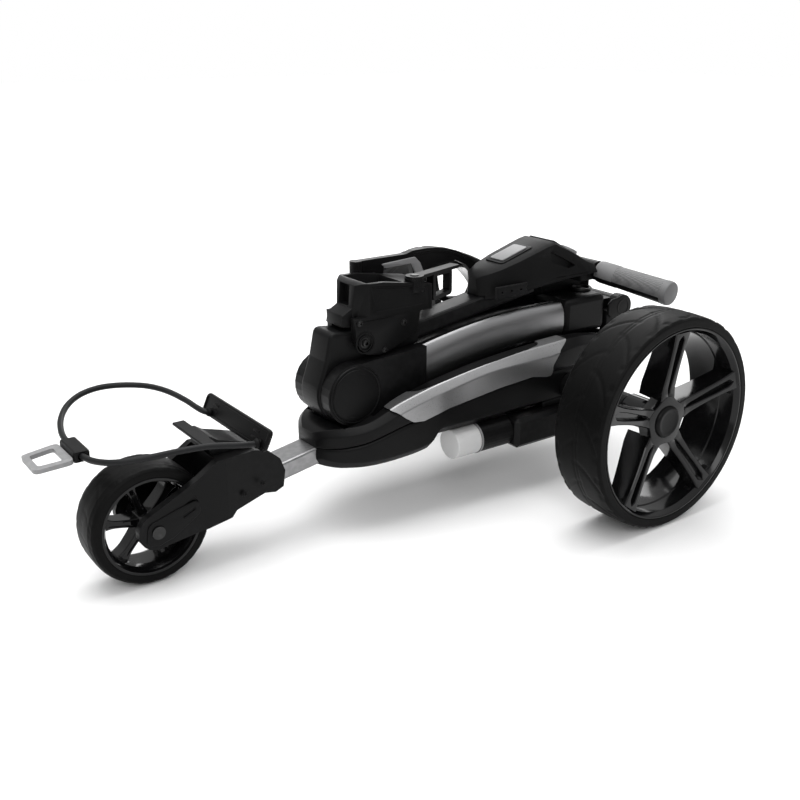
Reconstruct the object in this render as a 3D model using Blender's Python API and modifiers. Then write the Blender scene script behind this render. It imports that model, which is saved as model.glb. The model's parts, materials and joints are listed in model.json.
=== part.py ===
"""Electric golf trolley, folded: a three-wheeled chassis with a hinged frame and stem lying on it.

Metres, +Z up, with the front wheel towards -X and the trolley's left side at -Y. Positions below are
measured from the middle of the rear axle, from a level 4 mm above the floor. The root empty then puts
the origin on the floor at the middle of the trolley's length.
"""

import math

import bmesh
import bpy
from mathutils import Matrix, Vector

MIDDLE_X = 0.2755  # from the trolley's middle to the rear axle

# Wheels
REAR_R = 0.150
REAR_FACE = 0.2924  # outer face of a rear wheel, from the middle plane
REAR_WIDTH = 0.083
RIM_R = 0.134
SEAT_R = 0.1291
WHEELBASE = 0.640
FRONT_R = 0.0785
FRONT_HALF = 0.0295
AXLE_Z = 0.146
RISE = REAR_R - AXLE_Z  # from the level that heights are measured from, down to the floor
FRONT_Z = FRONT_R - RISE
AXLE_R = 0.006

# Hinges
FRAME_PIVOT = (0.148, 0.236)  # x, z: the frame swings up about this line
STEM_PIVOT = (-0.352, 0.190)  # x, z: the stem swings on the front end of the frame
HOUSING_R = 0.0425
KNUCKLE_R = 0.0455
KNUCKLE_HALF = 0.0236
SLOT_HALF = 0.0242
FRAME_HALF = 0.0435
RAIL_INNER = 0.0298

# Frame rails follow a shallow arch
CREST_X, CREST_Z, CREST_FALL = -0.005, 0.2333, 0.509
RAIL_START, RAIL_END = -0.2345, 0.0262

# Stem line: height at STEM_X, and rise per metre
STEM_X, STEM_Z, STEM_RISE = -0.210, 0.257, 0.160
STEM_WIDTH, STEM_HEIGHT = 0.040, 0.024

# Handle
HANDLE_X, HANDLE_Z, HANDLE_HALF = 0.108, 0.2955, 0.165
HANDLE_SWEEP, HANDLE_DROOP = 0.105, 0.091  # per metre out from the middle

# Bag arms: x, y of their upright hinges
ARM_LEFT = (-0.2430, -0.0260)
ARM_RIGHT = (-0.2900, 0.0480)

# Front tube
TUBE_X, TUBE_Z, TUBE_ANGLE = -0.450, 0.098, math.radians(10.3)
TUBE_WIDTH, TUBE_HEIGHT, TUBE_WALL = 0.044, 0.024, 0.002

GAP = 0.0004

# Chassis stations: x, half width, bottom, split line, ridge, deck
HULL = [
    (-0.403, 0.023, 0.0945, 0.1180, 0.131, 0.138),
    (-0.393, 0.041, 0.0925, 0.1200, 0.137, 0.145),
    (-0.377, 0.057, 0.0910, 0.1230, 0.141, 0.149),
    (-0.350, 0.071, 0.0910, 0.1290, 0.146, 0.153),
    (-0.300, 0.082, 0.0945, 0.1450, 0.166, 0.175),
    (-0.256, 0.085, 0.1005, 0.1535, 0.178, 0.187),
    (-0.238, 0.086, 0.1185, 0.1565, 0.182, 0.191),
    (-0.136, 0.087, 0.1185, 0.1685, 0.196, 0.206),
    (-0.050, 0.087, 0.1185, 0.1725, 0.197, 0.212),
    (0.020, 0.084, 0.1185, 0.1730, 0.203, 0.214),
    (0.090, 0.074, 0.1205, 0.1740, 0.196, 0.205),
    (0.125, 0.060, 0.1260, 0.1740, 0.192, 0.198),
    (0.136, 0.048, 0.1320, 0.1740, 0.188, 0.194),
]
BROW = 0.010  # how far the ridge slopes inwards
ACCENT_GAP, ACCENT_THICK = 0.0006, 0.0024

# Elastic strap: the points it passes through, from the right anchor to the left one
STRAP_R = 0.004
STRAP_ROUTE = [
    (-0.5142, 0.0640, 0.1690),
    (-0.5200, 0.0675, 0.1700),
    (-0.5245, 0.0820, 0.1725),
    (-0.5290, 0.1040, 0.1765),
    (-0.5400, 0.1370, 0.1820),
    (-0.5580, 0.1630, 0.1860),
    (-0.5850, 0.1810, 0.1880),
    (-0.6150, 0.1900, 0.1880),
    (-0.6450, 0.1830, 0.1860),
    (-0.6700, 0.1640, 0.1810),
    (-0.6880, 0.1360, 0.1745),
    (-0.6975, 0.1060, 0.1690),
    (-0.7000, 0.0800, 0.1660),
    (-0.7000, 0.0490, 0.1650),
    (-0.6995, 0.0180, 0.1660),
    (-0.6940, -0.0080, 0.1680),
    (-0.6780, -0.0330, 0.1715),
    (-0.6450, -0.0490, 0.1750),
    (-0.6080, -0.0540, 0.1760),
    (-0.5720, -0.0600, 0.1755),
    (-0.5400, -0.0690, 0.1722),
    (-0.5250, -0.0705, 0.1700),
    (-0.5142, -0.0710, 0.1690),
]

SIDES = (("left", -1), ("right", 1))

for old in list(bpy.data.objects):
    bpy.data.objects.remove(old, do_unlink=True)


def new_collection(name):
    collection = bpy.data.collections.new(name)
    bpy.context.scene.collection.children.link(collection)
    return collection


PARTS = new_collection("golf_trolley")
CUTTERS = new_collection("cutters")


def material(name, colour, roughness, metallic):
    made = bpy.data.materials.new(name)
    made.use_nodes = True
    shader = made.node_tree.nodes["Principled BSDF"]
    shader.inputs["Base Color"].default_value = (*colour, 1.0)
    shader.inputs["Roughness"].default_value = roughness
    shader.inputs["Metallic"].default_value = metallic
    return made


BLACK = material("satin_black_plastic", (0.020, 0.020, 0.021), 0.42, 0.0)
GLOSS = material("gloss_black_rim", (0.010, 0.010, 0.011), 0.12, 0.0)
RUBBER = material("tyre_rubber", (0.022, 0.022, 0.022), 0.62, 0.0)
CORD = material("strap_rubber", (0.060, 0.062, 0.064), 0.50, 0.0)
GUNMETAL = material("gunmetal_aluminium", (0.300, 0.300, 0.305), 0.30, 1.0)
ACCENT = material("silver_accent", (0.330, 0.330, 0.340), 0.32, 0.9)
STEEL = material("bright_steel", (0.560, 0.560, 0.570), 0.25, 1.0)
GREY = material("light_grey_plastic", (0.520, 0.520, 0.530), 0.48, 0.0)
GRIP = material("grey_grip_rubber", (0.230, 0.230, 0.235), 0.58, 0.0)
GLASS = material("display_glass", (0.012, 0.014, 0.018), 0.06, 0.0)
BOARD = material("circuit_board", (0.020, 0.110, 0.050), 0.50, 0.0)
BRONZE = material("worm_bronze", (0.480, 0.330, 0.160), 0.32, 1.0)


# ---------------------------------------------------------------- shape helpers


def keep(name, mesh, finish):
    mesh.shade_smooth()
    mesh.set_sharp_from_angle(angle=math.radians(30))
    piece = bpy.data.objects.new(name, mesh)
    PARTS.objects.link(piece)
    mesh.materials.clear()
    mesh.materials.append(finish)
    return piece


def from_bmesh(name, shape, finish):
    bmesh.ops.recalc_face_normals(shape, faces=shape.faces)
    mesh = bpy.data.meshes.new(name)
    shape.to_mesh(mesh)
    shape.free()
    return keep(name, mesh, finish)


def bevel(piece, width, segments=2):
    mod = piece.modifiers.new("bevel", "BEVEL")
    mod.width = width
    mod.segments = segments
    mod.limit_method = "ANGLE"
    mod.angle_limit = math.radians(40)
    return piece


def box(name, low, high, finish, rounding=0.0, segments=2):
    low, high = Vector(low), Vector(high)
    shape = bmesh.new()
    bmesh.ops.create_cube(shape, size=1.0)
    size = high - low
    bmesh.ops.scale(shape, vec=size, verts=shape.verts)
    piece = from_bmesh(name, shape, finish)
    piece.location = (low + high) / 2
    if rounding:
        bevel(piece, rounding, segments)
    return piece


def rod(name, start, end, radius, finish, sides=24, end_radius=None):
    start, end = Vector(start), Vector(end)
    along = end - start
    shape = bmesh.new()
    bmesh.ops.create_cone(
        shape,
        cap_ends=True,
        segments=sides,
        radius1=radius,
        radius2=radius if end_radius is None else end_radius,
        depth=along.length,
    )
    piece = from_bmesh(name, shape, finish)
    piece.rotation_mode = "QUATERNION"
    piece.rotation_quaternion = along.to_track_quat("Z", "Y")
    piece.location = (start + end) / 2
    return piece


def welded(curve_object, name, finish):
    """The closed mesh of a curve object, in its place, and the curve is removed."""
    bpy.context.view_layer.update()
    graph = bpy.context.evaluated_depsgraph_get()
    mesh = bpy.data.meshes.new_from_object(curve_object.evaluated_get(graph))
    place = curve_object.matrix_world.copy()
    curve = curve_object.data
    bpy.data.objects.remove(curve_object, do_unlink=True)
    bpy.data.curves.remove(curve)
    shape = bmesh.new()
    shape.from_mesh(mesh)
    bmesh.ops.remove_doubles(shape, verts=shape.verts, dist=1e-6)
    bmesh.ops.recalc_face_normals(shape, faces=shape.faces)
    shape.to_mesh(mesh)
    shape.free()
    mesh.name = name
    piece = keep(name, mesh, finish)
    piece.matrix_world = place
    return piece


TURNS = {
    "side": Matrix.Rotation(math.radians(90), 4, "X"),  # outline x, z, thick along Y
    "plan": Matrix.Identity(4),  # outline x, y, thick along Z
    "front": Matrix.Rotation(math.radians(90), 4, "Z") @ Matrix.Rotation(math.radians(90), 4, "X"),
}


def prism(name, outlines, middle, half, finish, plane="side"):
    """A flat outline, with any holes as further outlines, given thickness."""
    curve = bpy.data.curves.new(name, "CURVE")
    curve.dimensions = "2D"
    curve.fill_mode = "BOTH"
    curve.extrude = half
    for outline in outlines:
        spline = curve.splines.new("POLY")
        spline.points.add(len(outline) - 1)
        for point, (u, v) in zip(spline.points, outline):
            point.co = (u, v, 0, 1)
        spline.use_cyclic_u = True
    flat = bpy.data.objects.new(name + "_outline", curve)
    PARTS.objects.link(flat)
    shift = {"side": (0, middle, 0), "plan": (0, 0, middle), "front": (middle, 0, 0)}[plane]
    flat.matrix_world = Matrix.Translation(shift) @ TURNS[plane]
    return welded(flat, name, finish)


def turned(name, profile, centre, outward, finish, steps=48):
    """A closed profile of (radius, height) points turned about the outward axis."""
    mesh = bpy.data.meshes.new(name)
    count = len(profile)
    edges = [(i, (i + 1) % count) for i in range(count)]
    mesh.from_pydata([(r, 0, h) for r, h in profile], edges, [])
    piece = keep(name, mesh, finish)
    screw = piece.modifiers.new("turn", "SCREW")
    screw.steps = screw.render_steps = steps
    screw.use_merge_vertices = True
    screw.merge_threshold = 0.00001
    piece.rotation_mode = "QUATERNION"
    piece.rotation_quaternion = Vector(outward).to_track_quat("Z", "Y")
    piece.location = centre
    return piece


def loft(name, rings, finish):
    """A closed solid through rings of the same number of points."""
    shape = bmesh.new()
    rows = [[shape.verts.new(point) for point in ring] for ring in rings]
    count = len(rows[0])
    for near, far in zip(rows, rows[1:]):
        for i in range(count):
            j = (i + 1) % count
            shape.faces.new((near[i], near[j], far[j], far[i]))
    shape.faces.new(rows[0][::-1])
    shape.faces.new(rows[-1])
    return from_bmesh(name, shape, finish)


def boolean(piece, other, operation):
    mod = piece.modifiers.new(operation.lower(), "BOOLEAN")
    mod.object = other
    mod.operation = operation
    mod.solver = "EXACT"
    PARTS.objects.unlink(other)
    CUTTERS.objects.link(other)
    other.hide_render = True
    other.display_type = "WIRE"


def cut(piece, *others):
    for other in others:
        boolean(piece, other, "DIFFERENCE")
    return piece


def unite(piece, *others):
    for other in others:
        boolean(piece, other, "UNION")
    return piece


def arc(centre, radius, start, end, steps):
    """Points on an arc, angles in degrees, from +x towards +z."""
    turn = [math.radians(start + (end - start) * i / steps) for i in range(steps + 1)]
    return [(centre[0] + radius * math.cos(a), centre[1] + radius * math.sin(a)) for a in turn]


def filleted(points, radius, steps=3):
    """The outline again with each corner rounded."""
    result = []
    count = len(points)
    for i, corner in enumerate(points):
        here = Vector(corner)
        before = Vector(points[i - 1]) - here
        after = Vector(points[(i + 1) % count]) - here
        half = before.angle(after) / 2
        reach = min(radius / math.tan(half), before.length * 0.45, after.length * 0.45)
        start = here + before.normalized() * reach
        end = here + after.normalized() * reach
        for k in range(steps + 1):
            t = k / steps
            result.append(tuple(start.lerp(here, t).lerp(here.lerp(end, t), t)))
    return result


def rectangle(width, height, centre=(0.0, 0.0)):
    u, v = centre
    w, h = width / 2, height / 2
    return [(u - w, v - h), (u + w, v - h), (u + w, v + h), (u - w, v + h)]


def turn_about_y(piece, angle, pivot):
    """Tilts a piece about a line along Y; a positive angle lifts its +X end."""
    there = Matrix.Translation(pivot)
    bpy.context.view_layer.update()
    piece.matrix_world = there @ Matrix.Rotation(-angle, 4, "Y") @ there.inverted() @ piece.matrix_world
    return piece


def rail_middle(x):
    return CREST_Z - CREST_FALL * (x - CREST_X) ** 2


def rail_half(x):
    return 0.030 - 0.016 * (x - RAIL_START)


def stem_height(x):
    return STEM_Z + STEM_RISE * (x - STEM_X)


STEM_ANGLE = math.atan(STEM_RISE)


# ---------------------------------------------------------------- wheels


def rear_wheel(side, sign):
    outward = (0, sign, 0)
    inner = Vector((0, sign * (REAR_FACE - REAR_WIDTH), AXLE_Z))
    w = REAR_WIDTH
    lip = RIM_R + GAP
    seat = SEAT_R + GAP
    turned(
        "rear_tyre_" + side,
        [
            (lip, w),
            (0.1442, w - 0.0006),
            (0.1464, w - 0.0040),
            (0.1488, w - 0.0190),
            (REAR_R, w - 0.0350),
            (REAR_R, 0.0350),
            (0.1488, 0.0190),
            (0.1464, 0.0040),
            (0.1442, 0.0006),
            (lip, 0.0),
            (seat, 0.0040),
            (seat, w - 0.0042),
            (lip, w - 0.0042),
        ],
        inner,
        outward,
        RUBBER,
        32,
    )
    rim = turned(
        "rear_rim_" + side,
        [
            (RIM_R, w),
            (RIM_R, w - 0.0036),
            (SEAT_R, w - 0.0036),
            (SEAT_R, 0.0),
            (0.1252, 0.0),
            (0.1252, w - 0.0180),
            (0.1262, w - 0.0025),
            (0.1280, w),
        ],
        inner,
        outward,
        GLOSS,
        32,
    )
    star = spoke_plate("rear_star_" + side, 5, 0.0345, 0.1232, 0.0115, 0.0125, 0.1277)
    for vert in star.data.vertices:
        vert.co.z += max(0.0, vert.co.xy.length - 0.0470) * 0.185
    star.matrix_world = wheel_place(inner, sign, w - 0.0235)
    hub = rod(
        "rear_hub_" + side,
        inner + Vector(outward) * 0.010,
        inner + Vector(outward) * (w - 0.0180),
        0.0205,
        GLOSS,
    )
    bore = rod(
        "rear_bore_" + side,
        inner - Vector(outward) * 0.02,
        inner + Vector(outward) * (w - 0.0225),
        AXLE_R + GAP,
        GLOSS,
    )
    cut(unite(rim, star, hub), bore)
    dish = Vector(outward) * (w - 0.0177)
    crown = dish + Vector(outward) * 0.0045
    rod("rear_hub_cap_" + side, inner + dish, inner + crown, 0.0228, BLACK, 32, 0.0200)


def wheel_place(inner, sign, height):
    """The place of a plate that was drawn flat, with its top facing out of the wheel."""
    out = Vector((0, sign, 0))
    return Matrix.Translation(inner + out * height) @ out.to_track_quat("Z", "Y").to_matrix().to_4x4()


def spoke_plate(name, count, inner_r, outer_r, foot, head, rim_r, slots=True, thick=0.0055, start=90.0):
    """A disc with a window between each two spokes, and a slot along each spoke."""
    outlines = [arc((0, 0), rim_r, 0, 360, 32)[:-1]]
    pitch = 360.0 / count
    for k in range(count):
        middle = start + pitch * k
        foot_turn = math.degrees(math.asin(foot / inner_r))
        head_turn = math.degrees(math.asin(head / outer_r))
        window = arc((0, 0), outer_r, middle + head_turn, middle + pitch - head_turn, 4)
        window += arc((0, 0), inner_r, middle + pitch - foot_turn, middle + foot_turn, 1)
        outlines.append(window[::-1])
        if slots:
            low, high = inner_r + 0.012, outer_r - 0.001
            narrow = math.degrees(math.asin(0.0032 / low))
            wide = math.degrees(math.asin((head - 0.0075) / high))
            slot = arc((0, 0), high, middle - wide, middle + wide, 2)
            slot += arc((0, 0), low, middle + narrow, middle - narrow, 1)
            outlines.append(slot[::-1])
    return prism(name, outlines, 0.0, thick, GLOSS, "plan")


def front_wheel():
    centre = Vector((-WHEELBASE, 0, FRONT_Z))
    h = FRONT_HALF
    side = [(0.0643, h), (0.0710, h - 0.0008), (0.0748, h - 0.0040), (0.0774, h - 0.0110), (FRONT_R, h - 0.0200)]
    well = [(0.0605, -h + 0.0020), (0.0605, h - 0.0020), (0.0643, h - 0.0020)]
    mirrored = [(r, -z) for r, z in side[::-1]]
    turned("front_tyre", side + mirrored + [(0.0643, -h + 0.0020)] + well, centre, (0, -1, 0), RUBBER, 36)
    lip = [(0.0639, 0.0294), (0.0639, 0.0279), (0.0601, 0.0279)]
    outer = lip + [(r, -z) for r, z in lip[::-1]]
    inner = [(0.0590, -0.0294), (0.0550, -0.0200), (0.0550, 0.0200), (0.0590, 0.0294)]
    rim = turned("front_rim", outer + inner, centre, (0, -1, 0), GLOSS, 36)
    star = spoke_plate("front_star", 6, 0.0200, 0.0500, 0.0038, 0.0045, 0.0560, False, 0.0110, 60.0)
    star.matrix_world = wheel_place(centre, -1, 0.0)
    hub = rod("front_hub", centre - Vector((0, 0.029, 0)), centre + Vector((0, 0.029, 0)), 0.0135, GLOSS)
    bore = rod("front_bore", centre - Vector((0, 0.04, 0)), centre + Vector((0, 0.04, 0)), 0.0056, GLOSS, 16)
    cut(unite(rim, star, hub), bore)


# ---------------------------------------------------------------- front end


def front_fork():
    axle = (-WHEELBASE, FRONT_Z)
    outline = arc(axle, 0.0240, 118, 292, 10)
    outline += [(-0.597, 0.057), (-0.575, 0.059), (-0.540, 0.065), (-0.533, 0.0725), (-0.489, 0.0820)]
    outline += [(-0.472, 0.078), (-0.459, 0.082), (-0.4555, 0.104), (-0.463, 0.123), (-0.480, 0.138)]
    outline += [(-0.502, 0.146), (-0.557, 0.146), (-0.583, 0.129)]
    fork = prism("front_fork", [outline], 0.0, 0.0445, BLACK)
    wheel_slot = box("wheel_slot", (-0.72, -0.0335, 0.0), (-0.5555, 0.0335, 0.2), BLACK)
    cut(fork, wheel_slot)
    for side, sign in SIDES:
        corner = [(-0.545, 0.0445), (-0.440, 0.0290), (-0.440, 0.0600), (-0.545, 0.0600)]
        corner = [(x, sign * y) for x, y in corner]
        cut(fork, prism("clamp_taper_" + side, [corner], 0.11, 0.08, BLACK, "plan"))
        pocket = [(-0.628, 0.086), (-0.590, 0.1085), (-0.585, 0.101), (-0.622, 0.078)]
        cut(fork, prism("arm_pocket_" + side, [pocket], sign * 0.0445, 0.002, BLACK))
    channel = box("tube_channel", (-0.540, -0.0223, 0.0857), (-0.42, 0.0223, 0.1103), BLACK)
    turn_about_y(channel, TUBE_ANGLE, (TUBE_X, 0, TUBE_Z))
    bolt_way = rod("axle_way", (axle[0], -0.06, axle[1]), (axle[0], 0.06, axle[1]), 0.0056, BLACK, 16)
    cut(fork, channel, bolt_way)
    axle_bolt = rod("front_axle", (axle[0], -0.0475, axle[1]), (axle[0], 0.0475, axle[1]), 0.0050, STEEL, 16)
    for side, sign in SIDES:
        inner, outer = (axle[0], sign * 0.0450, axle[1]), (axle[0], sign * 0.0485, axle[1])
        unite(axle_bolt, rod("axle_head_" + side, inner, outer, 0.0085, STEEL, 16))


def front_tube():
    outer = filleted(rectangle(TUBE_WIDTH, TUBE_HEIGHT), 0.003, 2)
    inner = rectangle(TUBE_WIDTH - 2 * TUBE_WALL, TUBE_HEIGHT - 2 * TUBE_WALL)
    tube = prism("front_tube", [outer, inner[::-1]], 0.0, 0.0975, GUNMETAL, "front")
    tube.location = (-0.4375, 0, TUBE_Z)
    turn_about_y(tube, TUBE_ANGLE, (TUBE_X, 0, TUBE_Z))


def lower_cradle():
    lean = math.radians(25)
    size = filleted(rectangle(0.175, 0.0290), 0.007, 3)
    plate = prism("lower_cradle_plate", [size], 0.0, 0.0020, BLACK, "front")
    place = Matrix.Translation((-0.5070, 0, 0.1745)) @ Matrix.Rotation(lean, 4, "Y")
    plate.matrix_world = place @ plate.matrix_world
    for side, sign in SIDES:
        y, x, z = sign * (0.0640 if sign > 0 else 0.0710), -0.5115, 0.1690
        hole = rod("strap_hole_" + side, (x - 0.02, y, z), (x + 0.02, y, z), 0.0048, BLACK, 16)
        cut(plate, hole)
        rod("strap_ferrule_" + side, (x, y, z), (x + 0.0105, y, z), 0.0044, BLACK, 16)
    foot = [(-0.5535, 0.1465), (-0.4960, 0.1465), (-0.4960, 0.1505), (-0.5195, 0.1580), (-0.5440, 0.1650)]
    foot += [(-0.5540, 0.1715), (-0.5730, 0.1715), (-0.5730, 0.1680), (-0.5610, 0.1655)]
    peg = prism("key_peg", [filleted(foot, 0.002, 1)], 0.0, 0.0240, BLACK)
    bar = box("key_bar", (-0.5732, -0.0500, 0.1676), (-0.5560, 0.0500, 0.1718), BLACK, 0.0012, 1)
    unite(peg, bar)


def strap():
    """The elastic strap as one tube on a smooth curve through its route."""
    points = [Vector(p) for p in STRAP_ROUTE]
    smooth = []
    for i in range(len(points) - 1):
        a, b = points[i], points[i + 1]
        before = points[i - 1] if i else a - (b - a)
        after = points[i + 2] if i + 2 < len(points) else b + (b - a)
        for k in range(3):
            t = k / 3
            smooth.append(
                0.5
                * (
                    2 * a
                    + (b - before) * t
                    + (2 * before - 5 * a + 4 * b - after) * t**2
                    + (3 * a - before - 3 * b + after) * t**3
                )
            )
    smooth.append(points[-1])
    curve = bpy.data.curves.new("strap_cord", "CURVE")
    curve.dimensions = "3D"
    curve.bevel_depth = STRAP_R
    curve.bevel_resolution = 2
    curve.use_fill_caps = True
    spline = curve.splines.new("POLY")
    spline.points.add(len(smooth) - 1)
    for point, place in zip(spline.points, smooth):
        point.co = (*place, 1)
    tube = bpy.data.objects.new("strap_tube", curve)
    PARTS.objects.link(tube)
    welded(tube, "strap_cord", CORD)


def strap_pull():
    """The buckle that the strap runs through, and the pull ring on it."""
    buckle = box("strap_buckle", (-0.7105, 0.0220, 0.1575), (-0.6900, 0.0760, 0.1725), BLACK, 0.003, 2)
    way = rod("strap_way", (-0.7000, 0.0, 0.1653), (-0.7000, 0.1, 0.1653), STRAP_R + 0.0016, BLACK, 16)
    cut(buckle, way)
    outer = filleted([(-0.7110, 0.0160), (-0.7110, 0.0820), (-0.7580, 0.0790), (-0.7580, 0.0230)], 0.008, 3)
    inner = filleted([(-0.7200, 0.0270), (-0.7200, 0.0710), (-0.7500, 0.0690), (-0.7500, 0.0320)], 0.004, 2)
    ring = prism("strap_pull_ring", [outer, inner[::-1]], 0.0, 0.0028, GREY, "plan")
    ring.location = (0, 0, 0.1630)
    turn_about_y(ring, math.radians(6), (-0.7110, 0, 0.1630))


# ---------------------------------------------------------------- chassis


def hull_rings(lower, inset=0.0):
    """Rings of the tray, from the bottom up, or of the cowl, from the split line up, stepped in by inset."""
    rings = []
    for x, half, bottom, split, ridge, deck in HULL:
        w = half - inset
        soft = min(0.012, w * 0.4)
        if lower == "bottom":
            ring = [(-w + soft, bottom + inset), (w - soft, bottom + inset), (w, bottom + soft), (w, split)]
            ring += [(-w, split), (-w, bottom + soft)]
        else:
            base = split + GAP if inset == 0 else split - 0.02
            brow = w - BROW
            top = deck - inset
            edge = ridge - inset * 0.5
            ring = [(-w, base), (w, base), (w, edge), (brow, top), (-brow, top), (-w, edge)]
        rings.append([(x, y, z) for y, z in ring])
    return rings


def chassis_tray():
    tray = loft("chassis_tray", hull_rings("bottom"), BLACK)
    nose_well = box("nose_well", (-0.3325, -0.058, 0.1000), (-0.2600, 0.058, 0.2), BLACK)
    main_well = box("main_well", (-0.2610, -0.0625, 0.1215), (-0.1180, 0.0625, 0.2), BLACK)
    drive_well = box("drive_well", (-0.1185, -0.0840, 0.1215), (0.0600, 0.0700, 0.2), BLACK)
    tube_way = box("tube_way", (-0.5, -0.0223, 0.0857), (-0.325, 0.0223, 0.1103), BLACK)
    turn_about_y(tube_way, TUBE_ANGLE, (TUBE_X, 0, TUBE_Z))
    gear_way = box("gear_way", (-0.0480, -0.0839, 0.1), (0.0480, -0.0560, 0.2), BLACK)
    axle_way = rod("axle_way_tray", (0, -0.12, AXLE_Z), (0, 0.12, AXLE_Z), 0.0194, BLACK, 24)
    cut(tray, nose_well, main_well, drive_well, tube_way, gear_way, axle_way)


def chassis_cowl():
    cowl = loft("chassis_cowl", hull_rings("split"), BLACK)
    opening = box("frame_opening", (-0.3320, -0.0560, 0.10), (0.1165, 0.0560, 0.25), BLACK)
    x, z = STEM_PIVOT
    nose = rod("hinge_saddle", (x, -0.0500, z), (x, 0.0500, z), 0.0475, BLACK, 40)
    tube_way = box("tube_way_cowl", (-0.5, -0.0223, 0.0857), (-0.325, 0.0223, 0.1103), BLACK)
    turn_about_y(tube_way, TUBE_ANGLE, (TUBE_X, 0, TUBE_Z))
    gear_pocket = box("gear_pocket", (-0.0480, -0.0839, 0.15), (0.0480, -0.0555, 0.1935), BLACK)
    axle_way = rod("axle_way_cowl", (0, -0.12, AXLE_Z), (0, 0.12, AXLE_Z), 0.0194, BLACK, 24)
    cut(cowl, opening, nose, tube_way, gear_pocket, axle_way)


def side_accent(side, sign):
    """A thin bright panel that covers the chassis side and folds in over its ridge."""
    panel = loft("side_accent_" + side, hull_rings("split", -ACCENT_GAP - ACCENT_THICK), ACCENT)
    core = loft("accent_core_" + side, hull_rings("split", -ACCENT_GAP), ACCENT)
    edge = [(-0.3175, 0.1700), (-0.3095, 0.1665), (-0.2986, 0.1576), (-0.2870, 0.1500), (-0.2700, 0.1486)]
    edge += [(-0.2280, 0.1589), (-0.1390, 0.1701), (-0.0764, 0.1742), (-0.0500, 0.1690), (-0.0400, 0.1690)]
    edge += [(-0.0362, 0.1740), (-0.0368, 0.1830), (-0.0211, 0.2040), (-0.0010, 0.2160), (-0.0010, 0.2400)]
    edge += [(-0.3175, 0.2400)]
    shape = prism("accent_shape_" + side, [edge], sign * 0.0850, 0.0275, ACCENT)
    pad = [(-0.2850, 0.0500), (-0.2700, 0.0700), (-0.2500, 0.0775), (-0.2200, 0.0790), (-0.1380, 0.0805)]
    pad += [(-0.0790, 0.0790), (-0.0580, 0.0750), (-0.0480, 0.0680), (-0.0440, 0.0500)]
    pad_room = prism("pad_room_" + side, [[(x, sign * y) for x, y in pad]], 0.20, 0.06, ACCENT, "plan")
    boolean(panel, shape, "INTERSECT")
    cut(panel, core, pad_room)


def battery():
    case = box("battery_case", (-0.3000, -0.0535, 0.1225), (-0.1250, 0.0535, 0.1500), BLACK, 0.003, 2)
    socket = box("battery_socket", (-0.1340, -0.0150, 0.1300), (-0.1200, 0.0150, 0.1420), BLACK)
    cut(case, socket)
    lid = box("battery_lid", (-0.2960, -0.0500, 0.1504), (-0.1290, 0.0500, 0.1590), BLACK, 0.003, 2)
    finger = box("battery_finger_slot", (-0.2250, -0.0120, 0.1545), (-0.2000, 0.0120, 0.1700), BLACK)
    cut(lid, finger)
    box("battery_plug", (-0.1332, -0.0142, 0.1308), (-0.1190, 0.0142, 0.1412), GREY, 0.001, 1)
    box("control_board", (-0.1140, -0.0500, 0.1330), (-0.0560, 0.0500, 0.1350), BOARD)


MOTOR_Y, MOTOR_Z = -0.0700, 0.0955


def drive():
    y, z = MOTOR_Y, MOTOR_Z
    can = rod("motor_can", (-0.1698, y, z), (-0.1124, y, z), 0.0225, BLACK, 32)
    hollow = rod("motor_hollow", (-0.1900, y, z), (-0.1160, y, z), 0.0200, BLACK, 32)
    nose = rod("motor_nose_way", (-0.12, y, z), (-0.10, y, z), 0.0045, BLACK, 16)
    cut(can, hollow, nose)
    cap = rod("motor_end_cap", (-0.2130, y, z), (-0.1702, y, z), 0.0222, GREY, 32)
    bevel(cap, 0.002, 2)
    seat = rod("cap_seat", (-0.1790, y, z), (-0.1650, y, z), 0.0045, GREY, 16)
    cut(cap, seat)
    rotor = rod("drive_worm", (-0.1770, y, z), (0.0280, y, z), 0.0040, STEEL, 16)
    armature = rod("armature", (-0.1640, y, z), (-0.1190, y, z), 0.0175, STEEL, 24)
    worm = rod("worm_thread", (-0.0260, y, z), (0.0240, y, z), 0.0090, STEEL, 20)
    unite(rotor, armature, worm)
    low = box("gearbox_housing", (-0.1120, -0.1000, 0.0720), (0.0400, -0.0440, 0.1181), BLACK, 0.006, 1)
    high = box("gearbox_tower", (-0.0470, -0.0835, 0.1100), (0.0470, -0.0565, 0.1930), BLACK, 0.002, 1)
    wheel_room = rod("worm_wheel_room", (0, -0.0800, AXLE_Z), (0, -0.0600, AXLE_Z), 0.0435, BLACK, 40)
    worm_room = rod("worm_room", (-0.1200, y, z), (0.0320, y, z), 0.0104, BLACK, 20)
    axle_room = rod("gear_axle_way", (0, -0.12, AXLE_Z), (0, 0.12, AXLE_Z), AXLE_R + GAP, BLACK, 20)
    cut(unite(low, high), wheel_room, worm_room, axle_room)


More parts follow.
